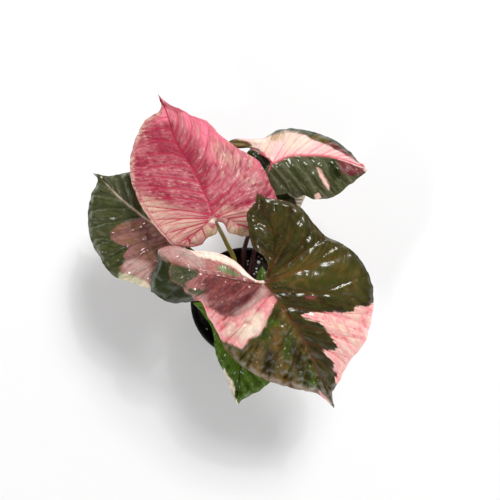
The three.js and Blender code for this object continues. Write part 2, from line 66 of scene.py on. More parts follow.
LEAVES = {
    "back_left": {
        "arch": 0.05, "waves": 3, "wave_height": 1.6, "phase": 0.5,
        "junction": (-26, 67, 168), "tip": (-78, 184, 120), "sinus": (-24, 64, 167),
        "midrib": [(-30, 81, 165), (-37, 96, 160), (-45, 112, 155), (-56, 129, 148), (-62, 143, 142),
            (-66, 157, 135), (-71, 170, 128)],
        "left": {
            "relief": (1.1, 1.2, 1.3),
            "rib": [(-32, 61, 168), (-40, 53, 167), (-45, 48, 166)],
            "margin": [(-74, 174, 126), (-74, 166, 129), (-85, 158, 132), (-93, 142, 137),
                (-97, 121, 143), (-95, 101, 150), (-89, 85, 155)],
            "lobe": [(-81, 71, 161), (-68, 55, 166), (-58, 45, 166), (-45, 43, 165)],
            "inner": [(-35, 45, 164), (-30, 50, 165), (-22, 55, 164)],
            "veins": [(0.12, 0.3), (0.25, 0.42), (0.37, 0.53), (0.5, 0.64), (0.6, 0.75), (0.72, 0.82),
                (0.82, 0.9), (0.89, 0.98), (0.98, 1.12), (1.05, 1.36), (1.2, 1.62), (1.5, 1.84),
                (1.95, 2.02), (2.55, 2.45)],
        },
        "right": {
            "relief": (1.1, 1.2, 1.1),
            "rib": [(-18, 67, 168), (-8, 63, 165), (-2, 58, 163)],
            "margin": [(-70, 175, 126), (-56, 166, 133), (-44, 158, 139), (-32, 152, 143),
                (-20, 138, 149), (-6, 127, 153), (12, 114, 157), (21, 96, 161), (27, 79, 160)],
            "lobe": [(22, 66, 159), (11, 55, 160), (-2, 52, 162)],
            "inner": [(-13, 55, 164), (-17, 62, 166)],
            "veins": [(0.3, 0.12), (0.45, 0.25), (0.62, 0.39), (0.79, 0.53), (0.91, 0.68), (0.98, 0.82),
                (1.12, 0.95), (1.45, 1.18), (1.8, 1.6), (2.5, 2.6)],
        },
        "foot": (-10, 28),
        "stalk": [(-10, 38, 97), (-15, 48, 120), (-21, 59, 150)],
    },
    "front": {
        "arch": 0.07, "waves": 4, "wave_height": 2.0, "phase": 1.1,
        "junction": (16, 13, 178), "tip": (77, -92, 112), "sinus": (17, 16, 178),
        "midrib": [(26, 1, 174), (35, -12, 170), (43, -24, 165), (51, -38, 157), (60, -57, 144),
            (69, -75, 128)],
        "left": {
            "relief": (2.2, 1.9, 1.6),
            "rib": [(20, 24, 178), (23, 36, 178), (23, 50, 178), (19, 63, 179), (14, 75, 180)],
            "margin": [(74, -77, 124), (79, -67, 131), (87, -50, 138), (98, -35, 143), (103, -20, 148),
                (105, -2, 153), (102, 16, 159)],
            "lobe": [(91, 35, 166), (76, 46, 172), (64, 51, 176), (54, 61, 179), (44, 73, 181),
                (32, 78, 182), (18, 80, 182), (10, 84, 181)],
            "inner": [(7, 75, 181), (2, 69, 181), (3, 55, 181), (6, 42, 181), (15, 34, 181),
                (19, 25, 180)],
            "veins": [(0.2, 0.12), (0.35, 0.25), (0.5, 0.38), (0.65, 0.52), (0.8, 0.7), (0.94, 0.87),
                (1.0, 1.24, 1.8), (1.04, 1.45), (1.2, 1.66), (1.6, 1.85), (1.85, 2.0), (2.35, 2.25),
                (2.7, 2.5)],
        },
        "right": {
            "relief": (4.2, 3.5, 1.6),
            "rib": [(6, 13, 177), (-9, 16, 176), (-26, 20, 174), (-43, 22, 171), (-59, 20, 163),
                (-69, 15, 154)],
            "margin": [(69, -84, 118), (60, -78, 122), (48, -75, 126), (34, -71, 131), (14, -64, 137),
                (-2, -54, 142), (-15, -41, 147), (-23, -24, 153)],
            "lobe": [(-31, -11, 158), (-36, 0, 157), (-47, -1, 150), (-62, -1, 146), (-78, 8, 145)],
            "inner": [(-77, 21, 151), (-71, 32, 158), (-70, 41, 163), (-57, 44, 168), (-42, 40, 171),
                (-24, 38, 173), (-9, 32, 175), (0, 24, 176), (9, 16, 177)],
            "veins": [(0.2, 0.1), (0.35, 0.22), (0.5, 0.36), (0.65, 0.52), (0.8, 0.68), (0.92, 0.84),
                (1.03, 0.98), (1.2, 1.15), (1.4, 1.4), (1.65, 1.7), (1.85, 1.95), (2.3, 2.3), (2.7, 2.7)],
        },
        "foot": (1, 14),
        "stalk": [(3, 13, 100), (7, 12, 130), (13, 12, 160)],
    },
    "back_right": {
        "arch": 0.05, "waves": 4, "wave_height": 1.4, "phase": 2.0,
        "junction": (22, 116, 142), "tip": (109, 117, 110), "sinus": (21, 118, 141),
        "midrib": [(31, 121, 138), (39, 125, 135), (51, 126, 131), (65, 127, 126), (79, 126, 121),
            (94, 123, 115), (104, 120, 112)],
        "left": {
            "relief": (1.5, 1.4, 1.2),
            "rib": [(17, 124, 138), (9, 131, 134), (0, 136, 131), (-8, 137, 129)],
            "margin": [(100, 126, 111), (91, 136, 111), (79, 144, 112), (65, 150, 114), (48, 152, 119),
                (37, 152, 121)],
            "lobe": [(28, 150, 124), (22, 146, 127), (16, 142, 129), (4, 141, 129), (-8, 141, 127),
                (-17, 138, 127)],
            "inner": [(-13, 132, 130), (-4, 132, 132), (6, 132, 133), (14, 129, 135), (20, 123, 139)],
            "veins": EVEN_VEINS,
        },
        "right": {
            "relief": (2.0, 1.8, 1.5),
            "rib": [(20, 108, 141), (19, 99, 139)],
            "margin": [(105, 113, 112), (94, 104, 116), (76, 91, 121), (59, 88, 127), (50, 91, 131),
                (44, 89, 132)],
            "lobe": [(37, 92, 134), (25, 90, 136), (15, 93, 137)],
            "inner": [(13, 104, 139), (18, 113, 141)],
            "veins": EVEN_VEINS,
        },
        "foot": (-2, 34),
        "stalk": [(-1, 48, 95), (4, 63, 106), (10, 84, 119), (16, 102, 130)],
    },
    "left": {
        "arch": 0.06, "waves": 3, "wave_height": 1.4, "phase": 0.0,
        "junction": (-56, 52, 137), "tip": (-139, 117, 97), "sinus": (-54, 49, 136),
        "midrib": [(-68, 60, 134), (-80, 67, 130), (-96, 79, 124), (-110, 91, 116), (-122, 103, 108),
            (-132, 112, 102)],
        "left": {
            "relief": (2.4, 2.2, 2.0),
            "rib": [(-56, 41, 136), (-57, 29, 133), (-60, 17, 131)],
            "margin": [(-133, 109, 103), (-138, 98, 104), (-141, 78, 106), (-138, 58, 109),
                (-125, 35, 116), (-114, 22, 120)],
            "lobe": [(-97, 16, 127), (-82, 11, 129), (-70, 7, 128), (-59, 9, 128)],
            "inner": [(-50, 18, 130), (-48, 30, 132), (-50, 42, 135)],
            "veins": EVEN_VEINS,
        },
        "right": {
            "relief": (2.4, 2.0, 1.8),
            "rib": [(-50, 56, 137), (-47, 60, 137)],
            "margin": [(-132, 115, 101), (-122, 113, 106), (-112, 114, 109), (-104, 115, 112),
                (-85, 111, 119), (-67, 102, 125)],
            "lobe": [(-53, 90, 131), (-44, 78, 135), (-40, 65, 136)],
            "inner": [(-42, 57, 135), (-48, 52, 136)],
            "veins": EVEN_VEINS,
        },
        "foot": (-8, 18),
        "stalk": [(-16, 24, 96), (-31, 34, 116), (-47, 44, 129)],
    },
    "low_front": {
        "arch": 0.06, "waves": 3, "wave_height": 1.2, "phase": 1.7,
        "junction": (-8, -11, 106), "tip": (-7, -92, 89), "sinus": (-8, -8, 106),
        "midrib": [(-6, -29, 104), (-4, -47, 101), (-5, -67, 96), (-8, -84, 91)],
        "left": {
            "relief": (2.0, 1.8, 1.5),
            "rib": [(4, -7, 106), (15, 2, 103), (17, 17, 101), (16, 24, 100)],
            "margin": [(-3, -88, 90), (4, -84, 91), (17, -76, 93), (24, -69, 94), (31, -50, 97),
                (33, -30, 100)],
            "lobe": [(30, -12, 103), (26, 7, 101), (22, 22, 99), (15, 32, 98)],
            "inner": [(10, 24, 100), (9, 12, 102), (1, 0, 104)],
            "veins": EVEN_VEINS,
        },
        "right": {
            "relief": (2.0, 1.8, 1.5),
            "rib": [(-19, -10, 106), (-30, -9, 105), (-39, -6, 103)],
            "margin": [(-12, -81, 92), (-18, -65, 97), (-23, -55, 99), (-27, -43, 101), (-28, -32, 103)],
            "lobe": [(-30, -22, 104), (-36, -13, 104), (-41, -7, 103), (-47, -1, 101)],
            "inner": [(-38, 0, 103), (-26, -4, 105), (-16, -5, 105)],
            "veins": EVEN_VEINS,
        },
        "foot": (-1, 4),
        "stalk": [(-3, -3, 92)],
    },
    "low_back": {
        "arch": 0.05, "waves": 3, "wave_height": 1.2, "phase": 2.6,
        "junction": (18, 86, 112), "tip": (32, 150, 99), "sinus": (19, 83, 112),
        "midrib": [(21, 101, 110), (25, 118, 107), (28, 133, 104), (31, 144, 100)],
        "left": {
            "relief": (2.0, 2.0, 2.0),
            "rib": [(13, 84, 112), (9, 81, 111)],
            "margin": [(22, 148, 100), (10, 143, 101), (0, 133, 103), (-4, 118, 106), (-4, 105, 109),
                (-2, 94, 111)],
            "lobe": [(1, 84, 111), (6, 78, 111)],
            "inner": [(13, 78, 111)],
            "veins": EVEN_VEINS,
        },
        "right": {
            "relief": (2.0, 2.0, 2.0),
            "rib": [(27, 83, 112), (36, 81, 111)],
            "margin": [(39, 146, 100), (48, 136, 101), (55, 120, 103), (56, 105, 105), (53, 92, 108)],
            "lobe": [(48, 83, 110), (40, 78, 111)],
            "inner": [(32, 76, 111), (25, 79, 111)],
            "veins": EVEN_VEINS,
        },
        "foot": (4, 27),
        "stalk": [(6, 38, 89), (10, 52, 98), (15, 72, 104)],
    },
}


def display(red, green, blue):
    """A colour as it looks on a screen, 0 to 255, turned into the linear values that Blender mixes."""
    screen = Color((red / SCREEN_WHITE, green / SCREEN_WHITE, blue / SCREEN_WHITE))
    return (*screen.from_srgb_to_scene_linear(), 1.0)


def length(label, description, millimetres):
    """A size that the user can change."""
    return FloatProperty(
        name=label, description=description, default=millimetres * MM, min=0.0, unit="LENGTH")


def count(label, description, number, least=8):
    """A whole number that the user can change."""
    return IntProperty(name=label, description=description, default=number, min=least)


def amount(label, description, number):
    """A plain number that the user can change."""
    return FloatProperty(name=label, description=description, default=number)


def colour(label, description, red, green, blue):
    """A colour that the user can change."""
    return FloatVectorProperty(
        name=label, description=description, size=4, subtype="COLOR", min=0.0, max=1.0,
        default=display(red, green, blue))


class PotSettings(bpy.types.PropertyGroup):
    """Sizes and colours of the nursery pot."""

    height: length("Height", "Height of the pot over the floor", 88)
    rim_radius: length("Rim radius", "Outer radius of the lip", 50)
    base_radius: length("Base radius", "Outer radius of the base", 35)
    wall: length("Wall", "Thickness of the wall", 1.4)
    bottom: length("Bottom", "Thickness of the bottom", 2)
    foot: length("Foot", "Bevel round the foot", 1.5)
    lip_height: length("Lip height", "Height of the turned-out lip", 7)
    lip_overhang: length("Lip overhang", "How far the lip stands out from the inside", 2.8)
    lip_round: length("Lip rounding", "Radius of the lip's edges", 1)
    ledge: length("Ledge", "How far the band under the lip stands out", 0.8)
    ledge_drop: length("Ledge drop", "Height of the band under the lip", 9)
    hole_radius: length("Hole radius", "Radius of a drain hole", 4)
    hole_circle: length("Hole circle", "Radius on which the drain holes lie", 24)
    holes: count("Holes", "Number of drain holes", 8, 0)
    sides: count("Sides", "Faces round the pot", 144, 24)
    plastic: colour("Plastic", "Colour of the pot", 6, 6, 7)
    dust: colour("Dust", "Colour of the film of dust and lime on the plastic", 60, 60, 58)


class MixSettings(bpy.types.PropertyGroup):
    """Sizes and colours of the potting mix."""

    top: length("Top", "Height of the mix at the wall", 77)
    mound: length("Mound", "Rise of the mix towards the stalks", 2)
    lump: length("Lumps", "Height of the broad lumps", 0.8)
    lump_length: length("Lump length", "Distance between broad lumps", 18)
    fine_lump: length("Fine lumps", "Height of the smaller lumps", 0.4)
    fine_lump_length: length("Fine lump length", "Distance between smaller lumps", 13)
    clod: length("Clods", "Height of the clods", 0.9)
    crumb: length("Crumb height", "Height of the crumbs", 0.6)
    gap: length("Gap", "Space between the mix and the pot", 0.3)
    spokes: count("Spokes", "Faces round the mix", 220, 24)
    rings: count("Rings", "Faces from the middle to the wall", 70)
    chips: count("Bark chips", "Number of bark chips on the mix", 150, 0)
    grains: count("Perlite grains", "Number of perlite grains", 26, 0)
    peat: colour("Peat", "Colour of the dark mix", 15, 12, 9)
    crumbs: colour("Crumbs", "Colour of the lighter crumbs", 30, 24, 17)
    bark: colour("Bark", "Colour of the bark chips", 42, 29, 21)
    # Grey for white perlite, dimmed with painted shade
    perlite: colour("Perlite", "Colour of the perlite", 196, 194, 186)


class BladeSettings(bpy.types.PropertyGroup):
    """Sizes of the leaf blades."""

    margin_steps: count("Margin steps", "Columns from the tip to the shoulder", 110, 16)
    lobe_steps: count("Lobe steps", "Columns out along a lobe's rib", 52)
    rings: count("Rings", "Rows from the ribs to the margin", 56)
    thickness: length("Thickness", "Thickness of a blade between its veins", 0.8)
    rib_thickness: length("Rib thickness", "Thickness of a blade at its ribs", 2.2)
    quilt: length("Quilting", "How far a blade swells between its veins", 0.9)
    vein_width: length("Vein width", "Half the width of the groove along a vein", 3.2)
    pucker: length("Puckers", "Height of the small swellings", 0.5)
    crinkle: length("Crinkle", "How far the margin strays up and down", 0.8)
    scallop: length("Scallop", "How far the margin strays in and out", 0.7)
    roll: length("Roll", "How far the margin turns down", 0.7)
    groove: length("Groove", "Depth of the groove along the ribs", 0.7)


class StalkSettings(bpy.types.PropertyGroup):
    """Sizes of the leaf stalks."""

    bottom: length("Bottom", "Height at which the stalks end in the mix", 60)
    base_radius: length("Base radius", "Radius of a stalk at the mix", 2.6)
    top_radius: length("Top radius", "Radius of a stalk under its blade", 1.7)
    sheath: length("Sheath", "How much the foot of a stalk swells", 0.5)
    knuckle: length("Knuckle", "How much the top of a stalk swells", 0.35)
    seat: length("Seat", "Drop from a blade's junction to its stalk", 2.2)
    sides: count("Sides", "Faces round a stalk", 28)
    steps: count("Steps", "Faces along a stalk", 110)


class FinishSettings(bpy.types.PropertyGroup):
    """Colours of the leaves and their stalks."""

    rose: colour("Rose", "Pink of the big back leaf", 140, 36, 58)
    rose_pale: colour("Pale rose", "Paler pink washed into the rose", 186, 106, 114)
    # Painted light: a bright pink for the lit right half and tip of the rose leaf; also the vein colour of
    # the back right leaf's pink half
    hot_rose_and_painted_light: colour("Hot rose", "Bright pink near a tip", 238, 118, 142)
    # Painted shade: a darker pink that stands for shade beside the rose leaf's midrib and in the fold by its
    # tip
    painted_shade_rose: colour("Deep rose", "Darker pink beside the midrib", 138, 34, 56)
    shell: colour("Shell", "Dull cream of the rose leaf", 208, 174, 154)
    blush: colour("Blush", "Pale pink between the veins", 240, 184, 178)
    crimson: colour("Crimson", "Veins of the pink leaves", 174, 28, 64)
    cream: colour("Cream", "Cream sectors and margins", 238, 214, 190)
    ivory: colour("Ivory", "Palest edges", 248, 238, 222)
    petal: colour("Petal", "Palest pink", 232, 198, 192)
    coral: colour("Coral", "Warm pink sectors", 236, 100, 118)
    maroon: colour("Maroon", "Pink tissue over green", 150, 76, 72)
    wine: colour("Wine", "Darkest red tissue and its veins", 92, 36, 40)
    mauve: colour("Mauve", "Greyish pink tissue", 196, 132, 126)
    dusk: colour("Dusk", "Greyish red tissue of the left leaf", 158, 106, 102)
    # Pale greyish pink: the left leaf's own tissue, and painted sheen in the front leaf's silvery streaks
    ash_rose_and_painted_sheen: colour("Ash rose", "Pale greyish pink tissue", 194, 168, 158)
    bronze: colour("Bronze", "Olive-brown ground of the front leaf", 36, 34, 6)
    umber: colour("Umber", "Lighter brown tissue", 120, 92, 42)
    olive: colour("Olive", "Lighter olive streaks", 62, 64, 16)
    russet: colour("Russet", "Red-brown veins of the front leaf", 104, 56, 26)
    forest: colour("Forest", "Dark green", 28, 36, 4)
    moss: colour("Moss", "Middle green", 54, 64, 12)
    leaf_green: colour("Leaf green", "Fresh green", 75, 101, 6)
    grass: colour("Grass", "Bright green of the low leaf", 84, 124, 16)
    slate: colour("Slate", "Grey-green", 98, 96, 68)
    sage: colour("Sage", "Pale green", 142, 156, 110)
    tan: colour("Tan", "Brownish blotches", 176, 136, 88)
    stalk_olive: colour("Olive stalk", "Stalk of the pink leaf", 158, 140, 52)
    stalk_green: colour("Green stalk", "Stalks of the green leaves", 96, 112, 44)
    stalk_red: colour("Red stalk", "Stalks of the back leaves", 58, 14, 20)


class StageSettings(bpy.types.PropertyGroup):
    """The floor, the lights and the camera."""

    floor_size: FloatProperty(name="Floor", description="Side of the floor", default=6.0, unit="LENGTH")
    floor: colour("Floor colour", "Colour of the floor", 246, 246, 246)
    camera_place: FloatVectorProperty(
        name="Camera", description="Place of the camera", size=3, subtype="TRANSLATION",
        default=(4.1 * MM, -7.9 * MM, 721 * MM))
    camera_lean: FloatProperty(
        name="Camera lean", description="How far the camera looks off the vertical",
        default=math.radians(5), subtype="ANGLE")
    focal_length: amount("Focal length", "Focal length in millimetres", 50.0)
    key_power: amount("Key light", "Power of the soft key light in watts", 33.0)
    glint_power: amount("Glint light", "Power of the small lamp in watts", 4.5)
    low_power: amount("Low light", "Power of the small low lamp in watts", 8.0)
    sky_above: amount("Sky above", "Brightness of the even light straight up", 0.03)
    sky_around: amount("Sky around", "Brightness of the even light low down", 2.25)
    sky_mirrored: amount("Sky mirrored", "Share of the even light that glossy surfaces mirror", 0.05)


# Making and shaping

def deselect_all():
    if bpy.context.object and bpy.context.object.mode != "OBJECT":
        bpy.ops.object.mode_set(mode="OBJECT")
    bpy.ops.object.select_all(action="DESELECT")


def activate(piece):
    """Selects one piece alone and makes it the active one."""
    deselect_all()
    piece.select_set(True)
    bpy.context.view_layer.objects.active = piece


def new_piece(name):
    """Names the primitive that was just added."""
    piece = bpy.context.object
    piece.name = name
    piece.data.name = name
    return piece


def edit(piece):
    """Opens a piece in edit mode with all of it selected."""
    activate(piece)
    bpy.ops.object.mode_set(mode="EDIT")
    bpy.ops.mesh.select_all(action="SELECT")


def weld(piece, sheet=False):
    """Merges doubled corners and turns the faces of a closed piece outwards, or those of a sheet over."""
    edit(piece)
    bpy.ops.mesh.remove_doubles(threshold=WELD)
    if sheet:
        bpy.ops.mesh.flip_normals()
    else:
        bpy.ops.mesh.normals_make_consistent(inside=False)
    bpy.ops.object.mode_set(mode="OBJECT")


def add_modifier(piece, kind, **settings):
    """Adds a modifier and applies it."""
    activate(piece)
    modifier = piece.modifiers.new(kind.title(), kind)
    for key, value in settings.items():
        setattr(modifier, key, value)
    bpy.ops.object.modifier_apply(modifier=modifier.name)


def settle(piece, slot, *nodes, smooth_angle=math.radians(50)):
    """Smooths a finished piece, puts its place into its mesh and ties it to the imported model."""
    activate(piece)
    bpy.ops.object.transform_apply(location=True, rotation=True, scale=True)
    bpy.ops.object.shade_smooth_by_angle(angle=smooth_angle)
    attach(piece, "root")
    if nodes:
        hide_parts(*nodes)


def shaped_grid(name, places):
    """A grid primitive whose corners are moved to places, an array of columns by rows by 3 in metres."""
    columns, rows = places.shape[:2]
    deselect_all()
    bpy.ops.mesh.primitive_grid_add(x_subdivisions=columns - 1, y_subdivisions=rows - 1, size=1.0)
    piece = new_piece(name)
    mesh = piece.data
    flat = np.empty(len(mesh.vertices) * 3)
    mesh.vertices.foreach_get("co", flat)
    corners = flat.reshape(-1, 3)
    column = np.rint((corners[:, 0] + 0.5) * (columns - 1)).astype(int)
    row = np.rint((corners[:, 1] + 0.5) * (rows - 1)).astype(int)
    mesh.vertices.foreach_set("co", places[column, row].ravel())
    mesh.update()
    return piece, column, row


def join(name, pieces):
    """Joins copies into one piece."""
    deselect_all()
    for piece in pieces:
        piece.select_set(True)
    bpy.context.view_layer.objects.active = pieces[0]
    bpy.ops.object.join()
    return new_piece(name)


def copy_of(model, place, turn, size):
    """A copy of a model piece with a mesh of its own, placed, turned and sized."""
    copy = model.copy()
    copy.data = model.data.copy()
    bpy.context.collection.objects.link(copy)
    copy.matrix_world = Matrix.LocRotScale(place, turn, Vector((size, size, size)))
    return copy


def give_number(piece, name, values):
    """Stores a number at each corner of a piece for its material to read."""
    attribute = piece.data.attributes.new(name, "FLOAT", "POINT")
    attribute.data.foreach_set("value", np.ascontiguousarray(values, dtype=np.float32).ravel())


def give_pattern_places(piece, places):
    """Stores where each corner of a piece lies in its pattern, in metres, as its UV map."""
    corner = np.empty(len(piece.data.loops), dtype=int)
    piece.data.loops.foreach_get("vertex_index", corner)
    piece.data.uv_layers.active.data.foreach_set("uv", places[corner].astype(np.float32).ravel())


# Curves and distances

def smooth_curve(controls, spans, start, stop):
    """Points on a centripetal Catmull-Rom curve, a number of spans for each stretch between controls."""
    knots = np.array(controls, dtype=float)
    knots = np.vstack([2 * knots[0] - knots[1], knots, 2 * knots[-1] - knots[-2]])
    points = []
    for i in range(start, stop):
        before, first, second, after = knots[i:i + 4]
        stretches = ((before, first), (first, second), (second, after))
        gaps = [math.sqrt(np.linalg.norm(b - a)) for a, b in stretches]
        leave = (first - before) / gaps[0] - (second - before) / (gaps[0] + gaps[1])
        leave = (leave + (second - first) / gaps[1]) * gaps[1]
        arrive = (second - first) / gaps[1] - (after - first) / (gaps[1] + gaps[2])
        arrive = (arrive + (after - second) / gaps[2]) * gaps[1]
        for t in np.arange(spans) / spans:
            ease = t * t * (3 - 2 * t)
            points.append(first + ease * (second - first) + (t - 2 * t ** 2 + t ** 3) * leave
                          + (t ** 3 - t ** 2) * arrive)
    points.append(knots[stop + 1])
    return np.array(points)


def even_points(controls, steps, start=0, stop=None):
    """Smooth points at even spacing along part of a curve through control points."""
    spans = 12
    stop = len(controls) - 1 if stop is None else stop
    fine = smooth_curve(controls, spans, start, stop)
    travelled = np.concatenate([[0], np.cumsum(np.linalg.norm(np.diff(fine, axis=0), axis=1))])
    targets = np.linspace(0, travelled[-1], steps + 1)
    return np.stack([np.interp(targets, travelled, fine[:, axis]) for axis in range(3)], axis=1)


def distance_to_line(spots, line, widths):
    """Distance in plan from each spot to a line of points, divided by the line's width there."""
    nearest = np.full(len(spots), FAR)
    for (a, b, width) in zip(line[:-1], line[1:], widths):
        along = b - a
        share = np.clip(((spots - a) @ along) / max(along @ along, TINY), 0, 1)
        gap = np.linalg.norm(spots - a - share[:, None] * along, axis=1) / width
        nearest = np.minimum(nearest, gap)
    return nearest


def distance_inside(spots, outline):
    """Distance in plan from each spot to a closed outline, positive inside it."""
    corners = np.array(outline, dtype=float)
    following = np.roll(corners, -1, axis=0)
    nearest = distance_to_line(spots, np.vstack([corners, corners[:1]]), np.ones(len(corners)))
    crossings = np.zeros(len(spots), dtype=int)
    for (ax, ay), (bx, by) in zip(corners, following):
        if ay == by:
            continue
        between = (ay > spots[:, 1]) != (by > spots[:, 1])
        crossing = ax + (spots[:, 1] - ay) / (by - ay) * (bx - ax)
        crossings += between & (spots[:, 0] < crossing)
    return np.where(crossings % 2 == 1, nearest, -nearest)


def rough(spots, scale, seed):
    """Smooth noise in plan from about -1 to 1."""
    return np.array([noise.noise(Vector((x / scale, y / scale, seed))) for x, y in spots])


def bell(distance, width):
    """1 at no distance and falling smoothly to 0 past a width."""
    return np.exp(-(distance / width) ** 2)


# Blades

# How a blade's rows bunch towards its ribs, how many millimetres of the streaks' pattern lie between two
# stations and between the halves, and how far the halves' waves are out of step, in radians
ROW_SPREAD = 1.2
STREAK_SPACING = 55
HALVES_APART = 400
HALVES_OUT_OF_STEP = 2

# The veins: how they bend on their way out, where the one along the margin runs, from which station on
# they run straight, at which point a fork leaves and how near it comes to the next vein, and where the
# vein along the margin starts and stops
VEIN_SWEEP = 1.35
MARGIN_VEIN = 0.93
STRAIGHT_FROM = 0.96
VEIN_POINTS = 22
FORK_POINT = 10
FORK_POINTS = 12
FORK_REACH = 0.45
COLLECTING_ENDS = (0.08, 2.92)
COLLECTING_POINTS = 90

# The width of each kind of vein at its start, and how much of it is lost on the way
MAIN_VEIN = (1.0, 0.62)
FORKED_VEIN = (0.6, 0.3)
WEAK_VEIN = (0.42, 0.2)
COLLECTING_VEIN = 0.4

# Noise that shapes a blade: its strength, the size of its swellings in millimetres and its seed
BROAD_SWELLING = (1.3, 13.0, 0)
SWELLING = (0.5, 6.5, 5)
FINE_SWELLING = (0.16, 3.2, 13)
CRINKLE = (1.0, 5.0, 9)
SCALLOP = (1.0, 7.0, 17)
FINE_SCALLOP = (0.5, 3.0, 21)

# How far the relief keeps off the ribs and the margin, and how far scallops reach in, in millimetres
CLEAR_OF_RIB = 4
CLEAR_OF_EDGE = 5
SCALLOP_CLEAR_OF_RIB = 8
SCALLOP_DEPTH = 4

# The margin's roll: its width in millimetres, the share of it that swells up inside the margin, and the
# greatest relief that it grows with
ROLL_WIDTH = 2.5
ROLL_SHOULDER = 0.5
MOST_ROLL = 1.3

# The groove along the ribs: its width and how far it keeps off the junction, in millimetres
GROOVE_WIDTH = 1.3
JUNCTION_REACH = 5

# A blade's thickness: the width of a rib's thickening and of the border that thins out, in millimetres,
# then what a vein adds and what is left at the edge, as shares
RIB_WIDTH = 1.8
EDGE_TAPER = 3
VEIN_BODY = 0.15
EDGE_THICKNESS = 0.55

# Just over 1, so that a lobe's rib fades out towards its end
RIB_FADE = 1.02


def half_ribs_and_edges(leaf, side, settings):
    """One half of a leaf: the rib point and the margin point of each column, tip to sinus."""
    outer = [leaf["tip"], *side["margin"], *side["lobe"]]
    shoulder = len(side["margin"])
    inner = [side["lobe"][-1], *side["inner"], leaf["sinus"]]
    midrib = even_points([leaf["junction"], *leaf["midrib"]], settings.margin_steps)[::-1]
    lobe_rib = even_points([leaf["junction"], *side["rib"]], settings.lobe_steps)
    ribs = [midrib, lobe_rib[1:], lobe_rib[::-1][1:]]
    edges = [
        even_points(outer, settings.margin_steps, 0, shoulder),
        even_points(outer, settings.lobe_steps, shoulder)[1:],
        even_points(inner, settings.lobe_steps)[1:],
    ]
    return np.vstack(ribs), np.vstack(edges)


def half_stations(settings):
    """Where each column of a half stands: 0 to 1 tip to junction, 1 to 2 out along the lobe, 2 to 3 back."""
    margin = np.linspace(0, 1, settings.margin_steps + 1)
    lobe = np.linspace(0, 1, settings.lobe_steps + 1)[1:]
    return np.concatenate([margin, 1 + lobe, 2 + lobe])


def column_at(stations, values, station):
    """The rib or margin point at a station between columns."""
    return np.stack([np.interp(station, stations, values[:, axis]) for axis in range(3)], axis=-1)


def thinning(kind, shares):
    """A vein's width at shares of the way along it."""
    start, lost = kind
    return start - lost * shares


def vein_lines(stations, ribs, edges, veins):
    """The veins of a half in plan, each a line of points with its width along it, and whether it is deep.

    Main veins leave the ribs and bend to the margin, a fork leaves each of them, a weak one runs between
    each two, and one collects them all along the margin. Past the junction they run straight.
    """
    lines = []

    def spot(station, across):
        rib = column_at(stations, ribs, station)
        edge = column_at(stations, edges, station)
        return (rib + (edge - rib) * np.asarray(across)[..., None])[..., :2]

    def trace(leave, meet, across, widths, deep):
        if leave < STRAIGHT_FROM:
            places = spot(leave + (meet - leave) * across ** VEIN_SWEEP, across)
        else:
            start, stop = spot(leave, 0.0), spot(meet, MARGIN_VEIN)
            places = start + (stop - start) * (across / MARGIN_VEIN)[:, None]
        lines.append((places, widths[:-1], deep))
        return places

    pairs = sorted(veins)
    across = np.linspace(0, MARGIN_VEIN, VEIN_POINTS)
    tail = np.linspace(0, 1, FORK_POINTS)
    for (leave, meet, *heavy), (next_leave, next_meet, *_) in zip(pairs, pairs[1:] + pairs[-1:]):
        weight = heavy[0] if heavy else 1.0
        main = trace(leave, meet, across, weight * thinning(MAIN_VEIN, across), True)
        if next_leave == leave:
            continue
        stop = spot(meet + FORK_REACH * (next_meet - meet), MARGIN_VEIN)
        fork = main[FORK_POINT] + (stop - main[FORK_POINT]) * tail[:, None]
        lines.append((fork, thinning(FORKED_VEIN, tail[:-1]), True))
        trace((leave + next_leave) / 2, (meet + next_meet) / 2, across, thinning(WEAK_VEIN, across), False)
    along = np.linspace(*COLLECTING_ENDS, COLLECTING_POINTS)
    collecting = spot(along, np.full(len(along), MARGIN_VEIN))
    lines.append((collecting, np.full(len(along) - 1, COLLECTING_VEIN), False))
    return lines


def unswept(stations, across, veins):
    """The station that a spot would have if all veins ran straight from rib to margin."""
    leave = np.array([0.0, *sorted(v[0] for v in veins), 3.0])
    meet = np.array([0.0, *[v[1] for v in sorted(veins)], 3.0])
    fine = np.linspace(0, 3, 301)
    sweep = np.interp(fine, leave, meet) - fine
    return np.interp(stations, fine + sweep * across ** VEIN_SWEEP, fine)


def blade_layout(leaf, settings):
    """The columns of a whole leaf with what its material needs, in millimetres."""
    across = np.linspace(0, 1, settings.rings + 1) ** ROW_SPREAD
    stations = half_stations(settings)
    columns = len(stations)
    shares = np.arange(columns) / (columns - 1)
    relief_stations = [0, 1, 2]
    lobe = np.clip(2 * stations - 2, 0, 6 - 2 * stations).clip(0, 1)
    halves = []
    for number, side in enumerate((leaf["left"], leaf["right"])):
        ribs, edges = half_ribs_and_edges(leaf, side, settings)
        width = np.linalg.norm((edges - ribs)[:, :2], axis=1)
        turn = 2 * math.pi * leaf["waves"] * shares + leaf["phase"] + HALVES_OUT_OF_STEP * number
        wave = leaf["wave_height"] * np.sin(math.pi * shares) * np.sin(turn)
        places = ribs[:, None] + (edges - ribs)[:, None] * across[:, None]
        places[:, :, 2] += leaf["arch"] * width[:, None] * 4 * across * (1 - across)
        places[:, :, 2] += wave[:, None] * across ** 2
        streak = np.empty((columns, len(across), 2))
        for ring, share in enumerate(across):
            station = unswept(stations, share, side["veins"])
            streak[:, ring, 0] = station * STREAK_SPACING + HALVES_APART * number
            streak[:, ring, 1] = share * width
        relief = np.interp(stations, relief_stations, side["relief"])
        halves.append({
            "places": places,
            "streak": streak,
            "edge": (1 - across) * width[:, None],
            "rib": across * width[:, None],
            "relief": np.repeat(relief[:, None], len(across), axis=1),
            "lobe": np.repeat(lobe[:, None], len(across), axis=1),
            "lines": vein_lines(stations, ribs, edges, side["veins"]),
        })
    return halves


